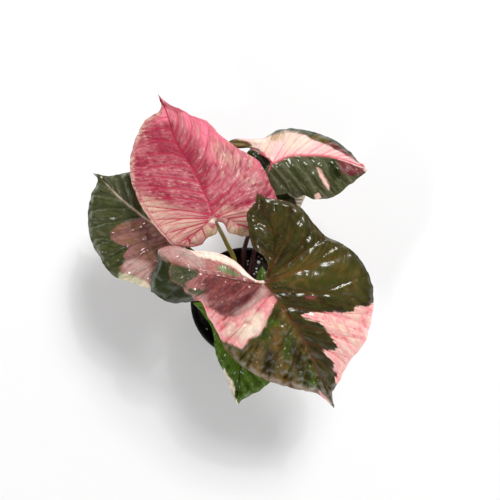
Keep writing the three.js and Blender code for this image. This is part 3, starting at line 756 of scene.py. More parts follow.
def blade_numbers(spots, halves):
    """Distance to the nearest vein and the nearest deep vein at every spot, in millimetres at full width."""
    nearest = np.full(len(spots), FAR)
    deepest = nearest.copy()
    for half in halves:
        for line, widths, deep in half["lines"]:
            distance = distance_to_line(spots, line, widths)
            nearest = np.minimum(nearest, distance)
            if deep:
                deepest = np.minimum(deepest, distance)
    return nearest, deepest


def blade_piece(place, leaf, settings):
    """A leaf blade: a sheet over the leaf's columns, quilted between its veins, then given its thickness."""
    halves = blade_layout(leaf, settings)
    keys = ("places", "streak", "edge", "rib", "relief", "lobe")
    grid = {key: np.concatenate([halves[0][key], halves[1][key][::-1]]) for key in keys}
    shape = grid["edge"].shape
    places = grid["places"]
    spots = places[:, :, :2].reshape(-1, 2)
    vein, deep_vein = [distance.reshape(shape) for distance in blade_numbers(spots, halves)]
    edge = grid["edge"]
    from_rib = grid["rib"]
    rib = from_rib / (RIB_FADE - grid["lobe"])
    patches = []
    for patch in PATCHES[place]:
        inside = distance_inside(spots, patch["outline"]).reshape(shape)
        if patch["band"]:
            inside = np.minimum(inside, patch["band"] - edge)
        patches.append(inside)

    def shaped(layer):
        strength, size, seed = layer
        return strength * rough(spots, size, leaf["phase"] + seed).reshape(shape)

    relief = grid["relief"]
    middle = np.minimum(1, from_rib / CLEAR_OF_RIB) * np.minimum(1, edge / CLEAR_OF_EDGE)
    swell = 1 - bell(deep_vein, settings.vein_width / MM)
    pucker = shaped(BROAD_SWELLING) + relief * (shaped(SWELLING) + shaped(FINE_SWELLING))
    roll = ROLL_SHOULDER * bell(edge - CLEAR_OF_EDGE, ROLL_WIDTH) - bell(edge, ROLL_WIDTH)
    from_junction = np.linalg.norm(spots - np.array(leaf["junction"][:2]), axis=1).reshape(shape)
    lift = relief * settings.quilt / MM * (swell - 0.5) * middle
    lift += relief * settings.pucker / MM * pucker * middle
    lift += relief * settings.crinkle / MM * shaped(CRINKLE) * np.exp(-edge / CLEAR_OF_EDGE)
    lift += np.minimum(relief, MOST_ROLL) * settings.roll / MM * roll
    lift -= settings.groove / MM * bell(rib, GROOVE_WIDTH) * (1 - bell(from_junction, JUNCTION_REACH))
    lift += settings.thickness / MM / 2
    places[:, :, 2] += lift
    outwards = places[:, -1:, :2] - places[:, :1, :2]
    outwards /= np.maximum(np.linalg.norm(outwards, axis=2, keepdims=True), 1.0)
    scallop = settings.scallop / MM * (shaped(SCALLOP) + shaped(FINE_SCALLOP)) * np.exp(-edge / SCALLOP_DEPTH)
    scallop *= np.minimum(1, from_rib / SCALLOP_CLEAR_OF_RIB)
    places[:, :, :2] += outwards * scallop[:, :, None]

    piece, column, row = shaped_grid(place + "_leaf", places * MM)
    at = (column, row)
    give_number(piece, "vein", vein[at])
    give_number(piece, "rib", rib[at])
    for index, inside in enumerate(patches):
        give_number(piece, f"patch_{index}", inside[at])
    give_pattern_places(piece, grid["streak"][at] * MM)

    thin = settings.thickness / settings.rib_thickness
    fat = thin + (1 - thin) * bell(rib, RIB_WIDTH) + VEIN_BODY * bell(vein, 1.0)
    fat *= EDGE_THICKNESS + (1 - EDGE_THICKNESS) * np.minimum(1, edge / EDGE_TAPER)
    group = piece.vertex_groups.new(name="ribs")
    for index, weight in enumerate(fat[at]):
        group.add([index], float(min(1.0, weight)), "REPLACE")

    weld(piece, sheet=True)
    add_modifier(
        piece, "SOLIDIFY", thickness=settings.rib_thickness, offset=-1.0, vertex_group="ribs",
        thickness_vertex_group=0.0, material_offset=1, use_quality_normals=True)
    return piece


# Nodes

def fill(tree, node, sockets):
    """Fills a node's sockets with values or links."""
    for key, value in sockets.items():
        if isinstance(value, bpy.types.NodeSocket):
            tree.links.new(value, node.inputs[key])
        else:
            node.inputs[key].default_value = value
    return node


def put(tree, kind, sockets, **settings):
    """Adds a node, sets its choices and fills its sockets."""
    node = tree.nodes.new(kind)
    for key, value in settings.items():
        setattr(node, key, value)
    return fill(tree, node, sockets)


def maths(tree, operation, *values):
    sockets = dict(enumerate(values))
    return put(tree, "ShaderNodeMath", sockets, operation=operation).outputs[0]


def times_plus(tree, value, factor, added=0.0):
    """A value times a factor, with a number added."""
    return maths(tree, "MULTIPLY_ADD", value, factor, added)


def step(tree, value, low, high):
    """0 under low, 1 over high and smooth between."""
    sockets = {"Value": value, "From Min": low, "From Max": high}
    return put(tree, "ShaderNodeMapRange", sockets, interpolation_type="SMOOTHSTEP").outputs[0]


def blend(tree, share, under, over):
    """Two colours mixed by a share."""
    return put(tree, "ShaderNodeMix", {0: share, 6: under, 7: over}, data_type="RGBA").outputs[2]


def noise_at(tree, place, scale, detail=3.0, roughness=0.55):
    """Noise with this many waves to a metre, 0 to 1."""
    sockets = {"Vector": place, "Scale": scale, "Detail": detail, "Roughness": roughness}
    return put(tree, "ShaderNodeTexNoise", sockets).outputs["Fac"]


def scaled(tree, place, across, along):
    """A place on a leaf or stalk, stretched across its streaks and along them."""
    return put(tree, "ShaderNodeMapping", {"Vector": place, "Scale": (across, along, 1.0)}).outputs[0]


def streaked(tree, place, across, along, detail=3.0, roughness=0.55):
    """Noise, 0 to 1, with this many waves to a metre across the streaks and along them."""
    return noise_at(tree, scaled(tree, place, across, along), 1.0, detail, roughness)


def bumped(tree, height, strength, depth):
    """The normals of a surface with this height on it, as deep as a size in millimetres."""
    sockets = {"Strength": strength, "Distance": depth * MM, "Height": height}
    return put(tree, "ShaderNodeBump", sockets).outputs[0]


def stored(tree, name):
    """A number stored on the mesh."""
    return put(tree, "ShaderNodeAttribute", {}, attribute_name=name).outputs["Fac"]


def pattern_place(tree):
    return put(tree, "ShaderNodeUVMap", {}).outputs[0]


def object_place(tree):
    return put(tree, "ShaderNodeTexCoord", {}).outputs["Object"]


def group_tree(name, inputs, outputs):
    """A new node group with named sockets, and the nodes that stand for its two ends."""
    tree = bpy.data.node_groups.new(name, "ShaderNodeTree")
    for way, sockets in (("INPUT", inputs), ("OUTPUT", outputs)):
        for kind, labels in sockets.items():
            for label in labels:
                tree.interface.new_socket(name=label, in_out=way, socket_type="NodeSocket" + kind)
    return tree, tree.nodes.new("NodeGroupInput").outputs, tree.nodes.new("NodeGroupOutput").inputs


def use(tree, group, sockets):
    """Places a shared group in a material."""
    return put(tree, "ShaderNodeGroup", sockets, node_tree=bpy.data.node_groups[group]).outputs


def streaks_group():
    """Noise drawn out along the veins: fine streaks, broad washes and flecks, each 0 to 1."""
    tree, given, made = group_tree(
        "Leaf streaks", {"Vector": ["Place"]}, {"Float": ["Fine", "Broad", "Flecks"]})
    kinds = {
        "Fine": {"across": 780, "along": 120, "detail": 6.0, "roughness": 0.62},
        "Broad": {"across": 90, "along": 30, "detail": 4.0, "roughness": 0.5},
        "Flecks": {"across": 860, "along": 120, "detail": 5.0, "roughness": 0.66},
    }
    for name, kind in kinds.items():
        tree.links.new(streaked(tree, given["Place"], **kind), made[name])


def net_group():
    """The smallest veins: a net of lines that is 1 on a line and 0 in the middle of a mesh."""
    line_width = 0.16
    tree, given, made = group_tree("Leaf net", {"Vector": ["Place"]}, {"Float": ["Net"]})
    place = scaled(tree, given["Place"], 210, 150)
    wander = put(tree, "ShaderNodeTexNoise", {"Vector": place, "Scale": 1.3, "Detail": 2.0}).outputs["Color"]
    half = (0.5, 0.5, 0.5)
    bent = put(tree, "ShaderNodeVectorMath", {0: wander, 1: half}, operation="SUBTRACT").outputs[0]
    moved = put(tree, "ShaderNodeVectorMath", {0: place, 1: bent}, operation="ADD").outputs[0]
    lines = put(tree, "ShaderNodeTexVoronoi", {"Vector": moved, "Scale": 1.0}, feature="DISTANCE_TO_EDGE")
    off_line = step(tree, lines.outputs["Distance"], 0.0, line_width)
    tree.links.new(maths(tree, "SUBTRACT", 1.0, off_line), made["Net"])


def mottle_group():
    """Two colours washed into each other along the veins, with flecks of a third.

    Noise lies mostly between 0.35 and 0.7, so the shares are spread over that range.
    """
    tree, given, made = group_tree(
        "Leaf mottle",
        {
            "Color": ["First", "Second", "Third"],
            "Float": ["Share", "Soft", "Third share", "Fine", "Broad", "Flecks"],
        },
        {"Color": ["Colour"]})
    fine_share, broad_share = 0.55, 0.45
    fleck_edge = 0.17
    fine = times_plus(tree, given["Fine"], fine_share)
    both = times_plus(tree, given["Broad"], broad_share, fine)
    middle = times_plus(tree, given["Share"], -0.3, 0.65)
    low = maths(tree, "SUBTRACT", middle, given["Soft"])
    wash = step(tree, both, low, maths(tree, "ADD", middle, given["Soft"]))
    lowest = times_plus(tree, given["Third share"], -0.4, 0.72)
    fleck = step(tree, given["Flecks"], lowest, maths(tree, "ADD", lowest, fleck_edge))
    skin = blend(tree, wash, given["First"], given["Second"])
    tree.links.new(blend(tree, fleck, skin, given["Third"]), made["Colour"])


def variegation_group():
    """One tissue laid over another inside an outline, with a border that follows the streaks."""
    tree, given, made = group_tree(
        "Leaf variegation",
        {"Color": ["Under", "Over"], "Float": ["Inside", "Fine", "Jagged", "Soft"]},
        {"Color": ["Colour"]})
    stray = maths(tree, "SUBTRACT", given["Fine"], 0.5)
    border = times_plus(tree, stray, given["Jagged"], given["Inside"])
    share = step(tree, border, times_plus(tree, given["Soft"], -1.0), given["Soft"])
    tree.links.new(blend(tree, share, given["Under"], given["Over"]), made["Colour"])


def veins_group():
    """A tint along the veins and the net between them, strongest at a vein's middle, with a faint halo."""
    tree, given, made = group_tree(
        "Leaf veins",
        {
            "Color": ["Colour", "Vein colour"],
            "Float": ["Distance", "Width", "Strength", "Net", "Net strength"],
        },
        {"Color": ["Colour"]})
    halo_strength = 0.28
    near = maths(tree, "DIVIDE", given["Distance"], given["Width"])
    core = maths(tree, "SUBTRACT", 1.0, step(tree, near, 0.15, 1.0))
    halo = times_plus(tree, step(tree, near, 0.5, 2.6), -halo_strength, halo_strength)
    share = maths(tree, "MULTIPLY", maths(tree, "MAXIMUM", core, halo), given["Strength"])
    net = maths(tree, "MULTIPLY", given["Net"], given["Net strength"])
    share = maths(tree, "MAXIMUM", share, net)
    tree.links.new(blend(tree, share, given["Colour"], given["Vein colour"]), made["Colour"])


def relief_group():
    """Fine pebbling of a leaf's skin, sunk along the net of its smallest veins."""
    tree, given, made = group_tree(
        "Leaf skin", {"Vector": ["Place"], "Float": ["Net", "Strength"]}, {"Vector": ["Normal"]})
    pebble_depth, net_depth = 0.35, 0.4
    pebbles = {"Vector": scaled(tree, given["Place"], 620, 480), "Scale": 1.0, "Smoothness": 0.6}
    cells = put(tree, "ShaderNodeTexVoronoi", pebbles, feature="SMOOTH_F1").outputs["Distance"]
    grain = streaked(tree, given["Place"], 300, 140, detail=4.0)
    height = times_plus(tree, cells, -pebble_depth, grain)
    height = times_plus(tree, given["Net"], -net_depth, height)
    tree.links.new(bumped(tree, height, given["Strength"], 0.8), made["Normal"])


def grime_group():
    """Uneven dulling, 0 to 1, for plastic."""
    tree, given, made = group_tree("Grime", {"Vector": ["Place"], "Float": ["Scale"]}, {"Float": ["Mask"]})
    spots = noise_at(tree, given["Place"], given["Scale"], 6.0, 0.65)
    tree.links.new(step(tree, spots, 0.42, 0.7), made["Mask"])


def build_groups():
    builders = (
        streaks_group, net_group, mottle_group, variegation_group, veins_group, relief_group, grime_group)
    for build in builders:
        build()


def new_material(name, sockets):
    """A material with its shader's even values set on the shader itself."""
    material = bpy.data.materials.new(name)
    material.use_nodes = True
    tree = material.node_tree
    return material, tree, fill(tree, tree.nodes["Principled BSDF"], sockets)


# Finishes

# Leaf tissues: two colours washed together, the second's share, how soft the wash is, a third colour in
# flecks and its share, the vein colour and how strongly veins and net show.
TISSUES = {
    "rose": ("rose", "rose_pale", 0.5, 0.09, "shell", 0.46, "crimson", 0.9, 0.35),
    # Painted shade: the darker pink of the rose leaf's shaded parts
    "painted_shade_rose": ("painted_shade_rose", "rose_pale", 0.3, 0.12, "shell", 0.35, "crimson", 0.85, 0.35),
    # Painted light: the brighter pink of the rose leaf's lit parts
    "hot_rose_and_painted_light": ("hot_rose_and_painted_light", "rose_pale", 0.4, 0.12, "shell", 0.5, "crimson", 0.7, 0.3),
    "shell": ("shell", "rose_pale", 0.3, 0.12, "rose", 0.35, "crimson", 0.95, 0.25),
    "speckled": ("shell", "rose_pale", 0.4, 0.1, "rose", 0.65, "crimson", 0.6, 0.4),
    "pale": ("ivory", "cream", 0.5, 0.15, "sage", 0.2, "sage", 0.3, 0.1),
    "tan": ("tan", "cream", 0.4, 0.15, "maroon", 0.3, "maroon", 0.5, 0.2),
    # Cream tissue, made paler by a painted highlight on a rolled margin
    "peach_and_painted_highlight": ("cream", "ivory", 0.5, 0.15, "blush", 0.5, "coral", 0.4, 0.1),
    "pink_cream": ("petal", "blush", 0.35, 0.2, "cream", 0.3, "hot_rose_and_painted_light", 0.9, 0.12),
    "butter": ("cream", "petal", 0.4, 0.2, "tan", 0.3, "rose_pale", 0.5, 0.1),
    "coral": ("coral", "blush", 0.55, 0.2, "cream", 0.4, "crimson", 0.4, 0.15),
    "coral_wash": ("blush", "cream", 0.4, 0.08, "coral", 0.5, "coral", 0.9, 0.35),
    "ivory_pink": ("ivory", "cream", 0.4, 0.15, "blush", 0.35, "coral", 0.5, 0.15),
    "blushed": ("blush", "cream", 0.4, 0.15, "maroon", 0.3, "rose", 0.5, 0.2),
    "maroon": ("maroon", "wine", 0.45, 0.15, "mauve", 0.35, "wine", 0.6, 0.3),
    "deep_maroon": ("wine", "maroon", 0.4, 0.15, "mauve", 0.2, "wine", 0.7, 0.3),
    "mauve": ("mauve", "maroon", 0.45, 0.14, "blush", 0.3, "wine", 0.7, 0.3),
    "dusk": ("dusk", "umber", 0.35, 0.15, "mauve", 0.35, "wine", 0.5, 0.3),
    # Greyish pink tissue, also used as painted sheen on the front leaf
    "ash_rose_and_painted_sheen": ("ash_rose_and_painted_sheen", "mauve", 0.4, 0.15, "cream", 0.3, "wine", 0.4, 0.2),
    "bronze": ("bronze", "olive", 0.45, 0.12, "moss", 0.4, "russet", 0.55, 0.18),
    # Painted sheen: lighter olive and brown that stand for the front leaf's soft sheen
    "painted_sheen_bronze": ("olive", "umber", 0.22, 0.14, "moss", 0.4, "russet", 0.5, 0.18),
    "light_bronze": ("umber", "olive", 0.5, 0.16, "leaf_green", 0.3, "bronze", 0.6, 0.3),
    "green_bronze": ("moss", "leaf_green", 0.5, 0.1, "olive", 0.3, "bronze", 0.5, 0.3),
    "brown_bronze": ("umber", "russet", 0.4, 0.1, "tan", 0.35, "bronze", 0.6, 0.3),
    "forest": ("forest", "moss", 0.4, 0.2, "olive", 0.2, "forest", 0.5, 0.3),
    "slate": ("slate", "moss", 0.35, 0.2, "olive", 0.3, "forest", 0.5, 0.3),
    "dark_slate": ("moss", "slate", 0.4, 0.2, "forest", 0.4, "forest", 0.5, 0.3),
    "sage": ("sage", "slate", 0.4, 0.15, "ivory", 0.2, "moss", 0.3, 0.2),
    "sage_cream": ("cream", "sage", 0.5, 0.12, "ivory", 0.3, "sage", 0.3, 0.1),
    "olive_brown": ("umber", "olive", 0.4, 0.15, "tan", 0.3, "bronze", 0.4, 0.2),
    "grass": ("leaf_green", "grass", 0.45, 0.2, "moss", 0.35, "moss", 0.5, 0.3),
}

# Each leaf's record slot, its stalk's kind and the look of its upper side
GROUNDS = {
    "back_left": {
        "slot": "rose_leaf", "stalk": "olive", "tissue": "rose", "rib": "crimson", "vein_width": 1.35,
        "gloss": 0.45, "shine": 0.25, "coat": 0.1, "skin": 0.35},
    "front": {
        "slot": "bronze_leaf", "stalk": "green", "tissue": "bronze", "rib": "russet", "vein_width": 1.2,
        "gloss": 0.4, "shine": 0.25, "coat": 0.55, "skin": 0.5},
    "back_right": {
        "slot": "cream_leaf", "stalk": "red", "tissue": "slate", "rib": "coral", "vein_width": 0.9,
        "gloss": 0.4, "shine": 0.2, "coat": 0.6, "skin": 0.4},
    "left": {
        "slot": "dark_leaf", "stalk": "green", "tissue": "dark_slate", "rib": "cream", "vein_width": 1.1,
        "gloss": 0.38, "shine": 0.2, "coat": 0.7, "skin": 0.5},
    "low_front": {
        "slot": "green_leaf", "stalk": "green", "tissue": "grass", "rib": "moss", "vein_width": 1.1,
        "gloss": 0.38, "shine": 0.2, "coat": 0.6, "skin": 0.4},
    "low_back": {
        "slot": "dark_leaf", "stalk": "red", "tissue": "forest", "rib": "moss", "vein_width": 1.1,
        "gloss": 0.36, "shine": 0.2, "coat": 0.8, "skin": 0.4},
}

# What all leaves share: the coat, the dull pale underside, the tint along the ribs, and how much further
# the patches' borders stray than their jaggedness says
COAT_ROUGHNESS = 0.1
UNDERSIDE_ROUGHNESS = 0.55
UNDERSIDE_PALENESS = 0.3
RIB_TINT_WIDTH = 1.2
RIB_TINT = 0.85
JAGGEDNESS = 1.7


def area(tissue, jagged, soft, *outline, band=None):
    """A patch of other tissue inside an outline in plan, in millimetres."""
    return {"tissue": tissue, "jagged": jagged, "soft": soft, "outline": outline, "band": band}


# Each leaf's patches of other tissue, painted in order. A border strays by jagged along the streaks and
# fades over soft, both in millimetres, and a band keeps a patch within that distance of the leaf's margin.
PATCHES = {
    "back_left": [
        # Painted shade: darker pink on both sides of the midrib
        area("painted_shade_rose", 9.0, 7.0, (-68, 157), (-57, 149), (-46, 135), (-36, 123), (-31, 109), (-34, 97),
            (-43, 106), (-52, 119), (-61, 121), (-71, 121), (-80, 131), (-78, 148)),
        # Painted light: brighter pink over the half on the right, which faces the light
        area("hot_rose_and_painted_light", 9.0, 6.0, (-66, 170), (-48, 164), (-25, 148), (-8, 130), (14, 112), (9, 100),
            (-4, 105), (-19, 109), (-29, 116), (-39, 133), (-52, 150), (-63, 161)),
        # Painted highlight: bright pink near the tip
        area("hot_rose_and_painted_light", 7.0, 5.0, (-76, 166), (-67, 171), (-55, 165), (-39, 155), (-26, 142), (-33, 136),
            (-45, 146), (-57, 153), (-68, 154), (-77, 152)),
        # Painted shade: darker pink in the fold beside the tip
        area("painted_shade_rose", 3.0, 1.5, (-76, 179), (-69, 173), (-60, 168), (-53, 163), (-58, 161),
            (-67, 167), (-74, 172)),
        # The lobe on the left
        area("shell", 7.0, 5.0, (-29, 64), (-41, 71), (-65, 79), (-87, 90), (-97, 83), (-72, 49),
            (-58, 39), (-42, 37), (-32, 41), (-28, 49)),
        # The right shoulder
        area("shell", 8.0, 5.0, (-18, 77), (-4, 71), (14, 77), (33, 78), (24, 62), (4, 53), (-14, 59),
            (-21, 65)),
        # The right margin
        area("speckled", 6.0, 6.0, (-26, 134), (-11, 125), (6, 109), (14, 95), (7, 90), (-4, 98),
            (-16, 109), (-27, 123)),
        # The lobes' inner edges
        area("tan", 3.0, 1.5, (-30, 60), (-26, 58), (-22, 60), (-18, 54), (-25, 46), (-31, 46)),
        # The right lobe end
        area("tan", 3.0, 1.5, (-13, 61), (-7, 58), (4, 57), (9, 49), (-7, 48), (-15, 54)),
        # The margin on the left
        area("speckled", 5.0, 1.5, (-71, 176), (-86, 164), (-100, 137), (-102, 100), (-95, 79), (-78, 82),
            (-81, 136), (-72, 158), band=4.5),
        # A pale wedge at the junction
        area("pale", 1.5, 1.2, (-26, 68), (-23, 66), (-24, 62), (-29, 63), (-29, 65)),
    ],
    "front": [
        # The lobe on the left of the picture
        area("forest", 5.0, 5.0, (-85, 51), (-69, 40), (-62, 34), (-59, 30), (-61, 22), (-59, 16),
            (-51, 12), (-48, 7), (-43, 5), (-34, -2), (-33, -14), (-87, -9)),
        # The lighter half on the left of the midrib
        area("light_bronze", 5.0, 3.0, (13, 8), (19, 11), (27, 1), (35, -12), (43, -24), (51, -38),
            (60, -57), (69, -75), (77, -93), (62, -84), (46, -80), (29, -75), (11, -70), (-6, -57),
            (-24, -36), (-16, -30), (4, -30), (14, -19), (14, 1)),
        # Painted sheen: lighter olive and brown over the right shoulder
        area("painted_sheen_bronze", 7.0, 6.0, (31, 25), (46, 35), (67, 45), (82, 39), (96, 17), (98, 1),
            (76, -1), (58, 4), (35, 11), (24, 14)),
        # Green beside the pink
        area("green_bronze", 5.0, 4.0, (9, -18), (18, -10), (28, -17), (31, -26), (22, -33), (11, -31)),
        # Green in the middle
        area("green_bronze", 5.0, 4.0, (28, -30), (36, -26), (41, -39), (36, -49), (28, -44)),
        # Green towards the tip
        area("green_bronze", 5.0, 4.0, (43, -48), (55, -53), (61, -69), (51, -75), (44, -62)),
        # A brown streak
        area("brown_bronze", 5.0, 4.0, (20, -23), (27, -20), (31, -33), (28, -46), (23, -39)),
        # Brown along the edge
        area("brown_bronze", 4.0, 4.0, (4, -59), (19, -67), (45, -75), (64, -82), (62, -75), (42, -69),
            (22, -60), (9, -51)),
        # A dark patch in it
        area("bronze", 5.0, 3.0, (38, -30), (43, -35), (50, -49), (55, -65), (48, -67), (42, -55),
            (36, -41)),
        # Its dark edge
        area("bronze", 4.0, 3.0, (19, -37), (24, -41), (25, -53), (21, -63), (14, -58), (15, -46)),
        # The pink sector
        area("mauve", 3.0, 0.8, (15, 13), (23, 5), (25, 1), (22, -4), (18, -15), (16, -21), (11, -27),
            (4, -30), (0, -35), (-3, -38), (-11, -33), (-19, -32), (-32, -23), (-40, -4), (-43, 5),
            (-48, 7), (-51, 12), (-59, 16), (-61, 22), (-59, 30), (-62, 34), (-69, 40), (-72, 47),
            (-52, 48), (-18, 46), (1, 32), (13, 19)),
        # The darkest streaks of the sector
        area("deep_maroon", 4.0, 3.0, (-26, -6), (-18, -2), (-4, 4), (9, 10), (6, 2), (-1, -6),
            (-10, -12), (-19, -12)),
        # A warmer wedge in the sector
        area("maroon", 3.0, 3.0, (13, 14), (-4, 17), (-23, 20), (-37, 16), (-33, 9), (-30, 1), (-25, -4),
            (-8, 3), (9, 10)),
        # The bright end of the sector
        area("coral", 4.0, 1.2, (-36, 4), (-31, -4), (-23, -9), (-17, -13), (-10, -13), (-3, -11),
            (3, -7), (9, -2), (16, 3), (25, 3), (25, -1), (22, -6), (18, -15), (16, -21), (11, -27),
            (4, -30), (1, -35), (-3, -38), (-11, -35), (-21, -32), (-34, -25), (-42, -4)),
        # Its creamy middle
        area("ivory_pink", 5.0, 2.5, (1, -14), (9, -8), (14, -10), (16, -15), (14, -22), (8, -28),
            (2, -30), (-3, -32), (-7, -27), (-3, -20)),
        # Its paler streak
        area("blushed", 6.0, 3.0, (-18, -17), (-10, -15), (-6, -22), (-9, -30), (-17, -27)),
        # Painted sheen: the silvery top of the sector
        area("ash_rose_and_painted_sheen", 5.0, 3.0, (-72, 41), (-57, 45), (-42, 41), (-31, 34), (-32, 26), (-43, 26),
            (-53, 31), (-63, 33)),
        # Painted sheen: a grey-green blotch where the lobe shines
        area("slate", 4.0, 1.5, (-59, 30), (-49, 27), (-36, 24), (-38, 19), (-48, 14), (-46, 10),
            (-35, 9), (-31, 7), (-35, 4), (-43, 5), (-51, 12), (-59, 16), (-61, 22)),
        # Painted sheen: a silvery rose streak
        area("ash_rose_and_painted_sheen", 4.0, 2.5, (13, 11), (9, 4), (1, -3), (-10, -9), (-7, -12), (4, -6), (14, 3),
            (18, 8)),
        # The cream band along its margin, paler still with a painted highlight where the margin rolls up
        area("peach_and_painted_highlight", 2.5, 0.8, (-55, 49), (-49, 44), (-43, 39), (-38, 35), (-21, 31), (-9, 26), (0, 19),
            (9, 15), (15, 12), (15, 18), (1, 33), (-18, 48)),
        # A pale green fleck
        area("sage", 3.0, 1.5, (-22, 27), (-16, 28), (-8, 23), (-3, 19), (-13, 20), (-21, 24)),
        # The sector on the right of the picture
        area("coral_wash", 4.5, 0.8, (44, -11), (54, -9), (66, -9), (75, -9), (77, -11), (81, -9),
            (87, -9), (89, -5), (100, -4), (105, -1), (115, 1), (119, -40), (85, -80), (78, -70),
            (75, -67), (76, -60), (73, -57), (73, -51), (70, -48), (66, -44), (62, -38), (67, -40),
            (73, -40), (75, -38), (70, -29), (67, -26), (65, -23), (59, -17), (52, -15), (46, -13)),
        # A red fleck
        area("maroon", 3.0, 1.0, (47, 4), (51, 4), (57, 3), (54, 1), (48, 1)),
        # A sliver by the tip
        area("coral", 2.0, 0.6, (62, -75), (65, -77), (74, -88), (69, -91)),
    ],
    "back_right": [
        # The outer edge
        area("forest", 4.0, 2.0, (15, 140), (36, 148), (48, 146), (55, 145), (62, 144), (70, 140),
            (80, 134), (93, 127), (113, 114), (120, 126), (84, 153), (48, 162), (15, 155)),
        # The pink upper half
        area("pink_cream", 2.5, 0.7, (22, 116), (27, 119), (33, 123), (44, 125), (60, 127), (73, 127),
            (80, 125), (91, 122), (100, 118), (109, 115), (112, 118), (101, 123), (91, 130), (79, 134),
            (72, 139), (63, 141), (52, 146), (38, 147), (31, 144), (15, 142), (4, 144), (-8, 145),
            (-5, 139), (6, 133), (16, 126), (21, 120)),
        # A creamy area in it
        area("butter", 4.0, 4.0, (34, 148), (48, 146), (59, 142), (57, 134), (47, 130), (37, 128),
            (31, 133), (30, 142)),
        # The base of the left lobe
        area("butter", 4.0, 3.0, (-8, 141), (4, 141), (15, 142), (25, 143), (23, 129), (19, 122),
            (14, 129), (4, 133), (-5, 138)),
        # A tan blotch
        area("tan", 4.0, 2.5, (20, 144), (34, 146), (33, 139), (23, 138)),
        # Brown blotches on the outer edge
        area("olive_brown", 4.0, 1.5, (55, 145), (63, 148), (72, 144), (81, 138), (76, 136), (68, 139),
            (59, 142)),
        # Dark red edge near the tip
        area("deep_maroon", 3.0, 1.2, (71, 142), (81, 139), (90, 133), (99, 125), (93, 127), (84, 132),
            (75, 136)),
        # The end of the left lobe
        area("olive_brown", 2.0, 1.0, (-22, 144), (-13, 139), (-5, 140), (2, 138), (6, 134), (1, 130),
            (-13, 130), (-24, 133)),
        # A red wedge near the tip
        area("maroon", 3.0, 1.0, (80, 124), (91, 122), (105, 118), (104, 113), (92, 110), (84, 113),
            (82, 118)),
        # A dark wedge beside it
        area("forest", 4.0, 2.0, (73, 125), (80, 124), (81, 117), (84, 111), (77, 104), (72, 112)),
        # A pale streak
        area("blushed", 3.0, 0.8, (62, 116), (66, 114), (69, 108), (73, 102), (73, 96), (68, 102),
            (64, 108)),
        # A fleck on the edge
        area("blushed", 2.0, 0.8, (59, 91), (64, 94), (66, 90), (62, 86)),
    ],
    "left": [
        # The pink sector
        area("dusk", 4.0, 1.0, (-79, 67), (-88, 72), (-94, 70), (-102, 67), (-106, 68), (-111, 65),
            (-117, 59), (-116, 55), (-113, 51), (-103, 47), (-101, 45), (-103, 42), (-104, 38),
            (-102, 33), (-109, 30), (-106, 25), (-107, 20), (-111, 12), (-81, 3), (-81, 12), (-80, 24),
            (-75, 30), (-74, 35), (-75, 43), (-62, 47), (-62, 55)),
        # Its warm upper part
        area("dusk", 3.0, 3.0, (-81, 68), (-88, 72), (-94, 70), (-102, 67), (-111, 65), (-117, 59),
            (-116, 55), (-106, 53), (-94, 58), (-81, 63)),
        # Its pale lower part
        area("ash_rose_and_painted_sheen", 4.0, 3.0, (-104, 34), (-95, 37), (-82, 33), (-79, 28), (-82, 18), (-93, 18),
            (-106, 25)),
        # Its edge
        area("sage_cream", 3.0, 1.2, (-108, 25), (-102, 24), (-94, 21), (-84, 17), (-79, 11), (-81, 3),
            (-113, 13)),
    ],
    "low_front": [
        # A white sliver
        area("pale", 2.0, 0.6, (-19, -58), (-15, -66), (-11, -70), (-9, -78), (-8, -86), (-6, -93),
            (-11, -93), (-23, -69)),
    ],
    "low_back": [
        # A cream edge
        area("pale", 2.0, 0.8, (38, 96), (44, 91), (46, 85), (50, 80), (59, 85), (59, 96), (49, 99)),
    ],
}

# Clods and crumbs of the mix: their size in millimetres and their seed
CLODS = (3.1, 2.0)
CRUMBS = (1.4, 7.0)

# How many crumbs to a metre show in the mix and on the chips and grains, the chips' and grains' least and
# greatest size, and the seeds of their shapes and of their places
MIX_CRUMBS = 420.0
CHIP_CRUMBS = 900.0
CHIP_SIZES = (0.6, 1.7)
GRAIN_SIZES = (0.6, 1.2)
CHIP_SEED = 4
GRAIN_SEED = 9
STREW_SEED = 11

# Grains of perlite that lie between the stalks and by the wall: place in plan and size in millimetres.
OPEN_GRAINS = [
    (2, 38, 1.1), (2, 35, 0.9), (12, 42, 1.0), (12, 37, 1.7), (15, 40, 1.0), (10, 31, 1.2), (10, 28, 1.0),
    (12, 27, 1.2), (8, 26, 0.9), (-36, -25, 1.2),
]


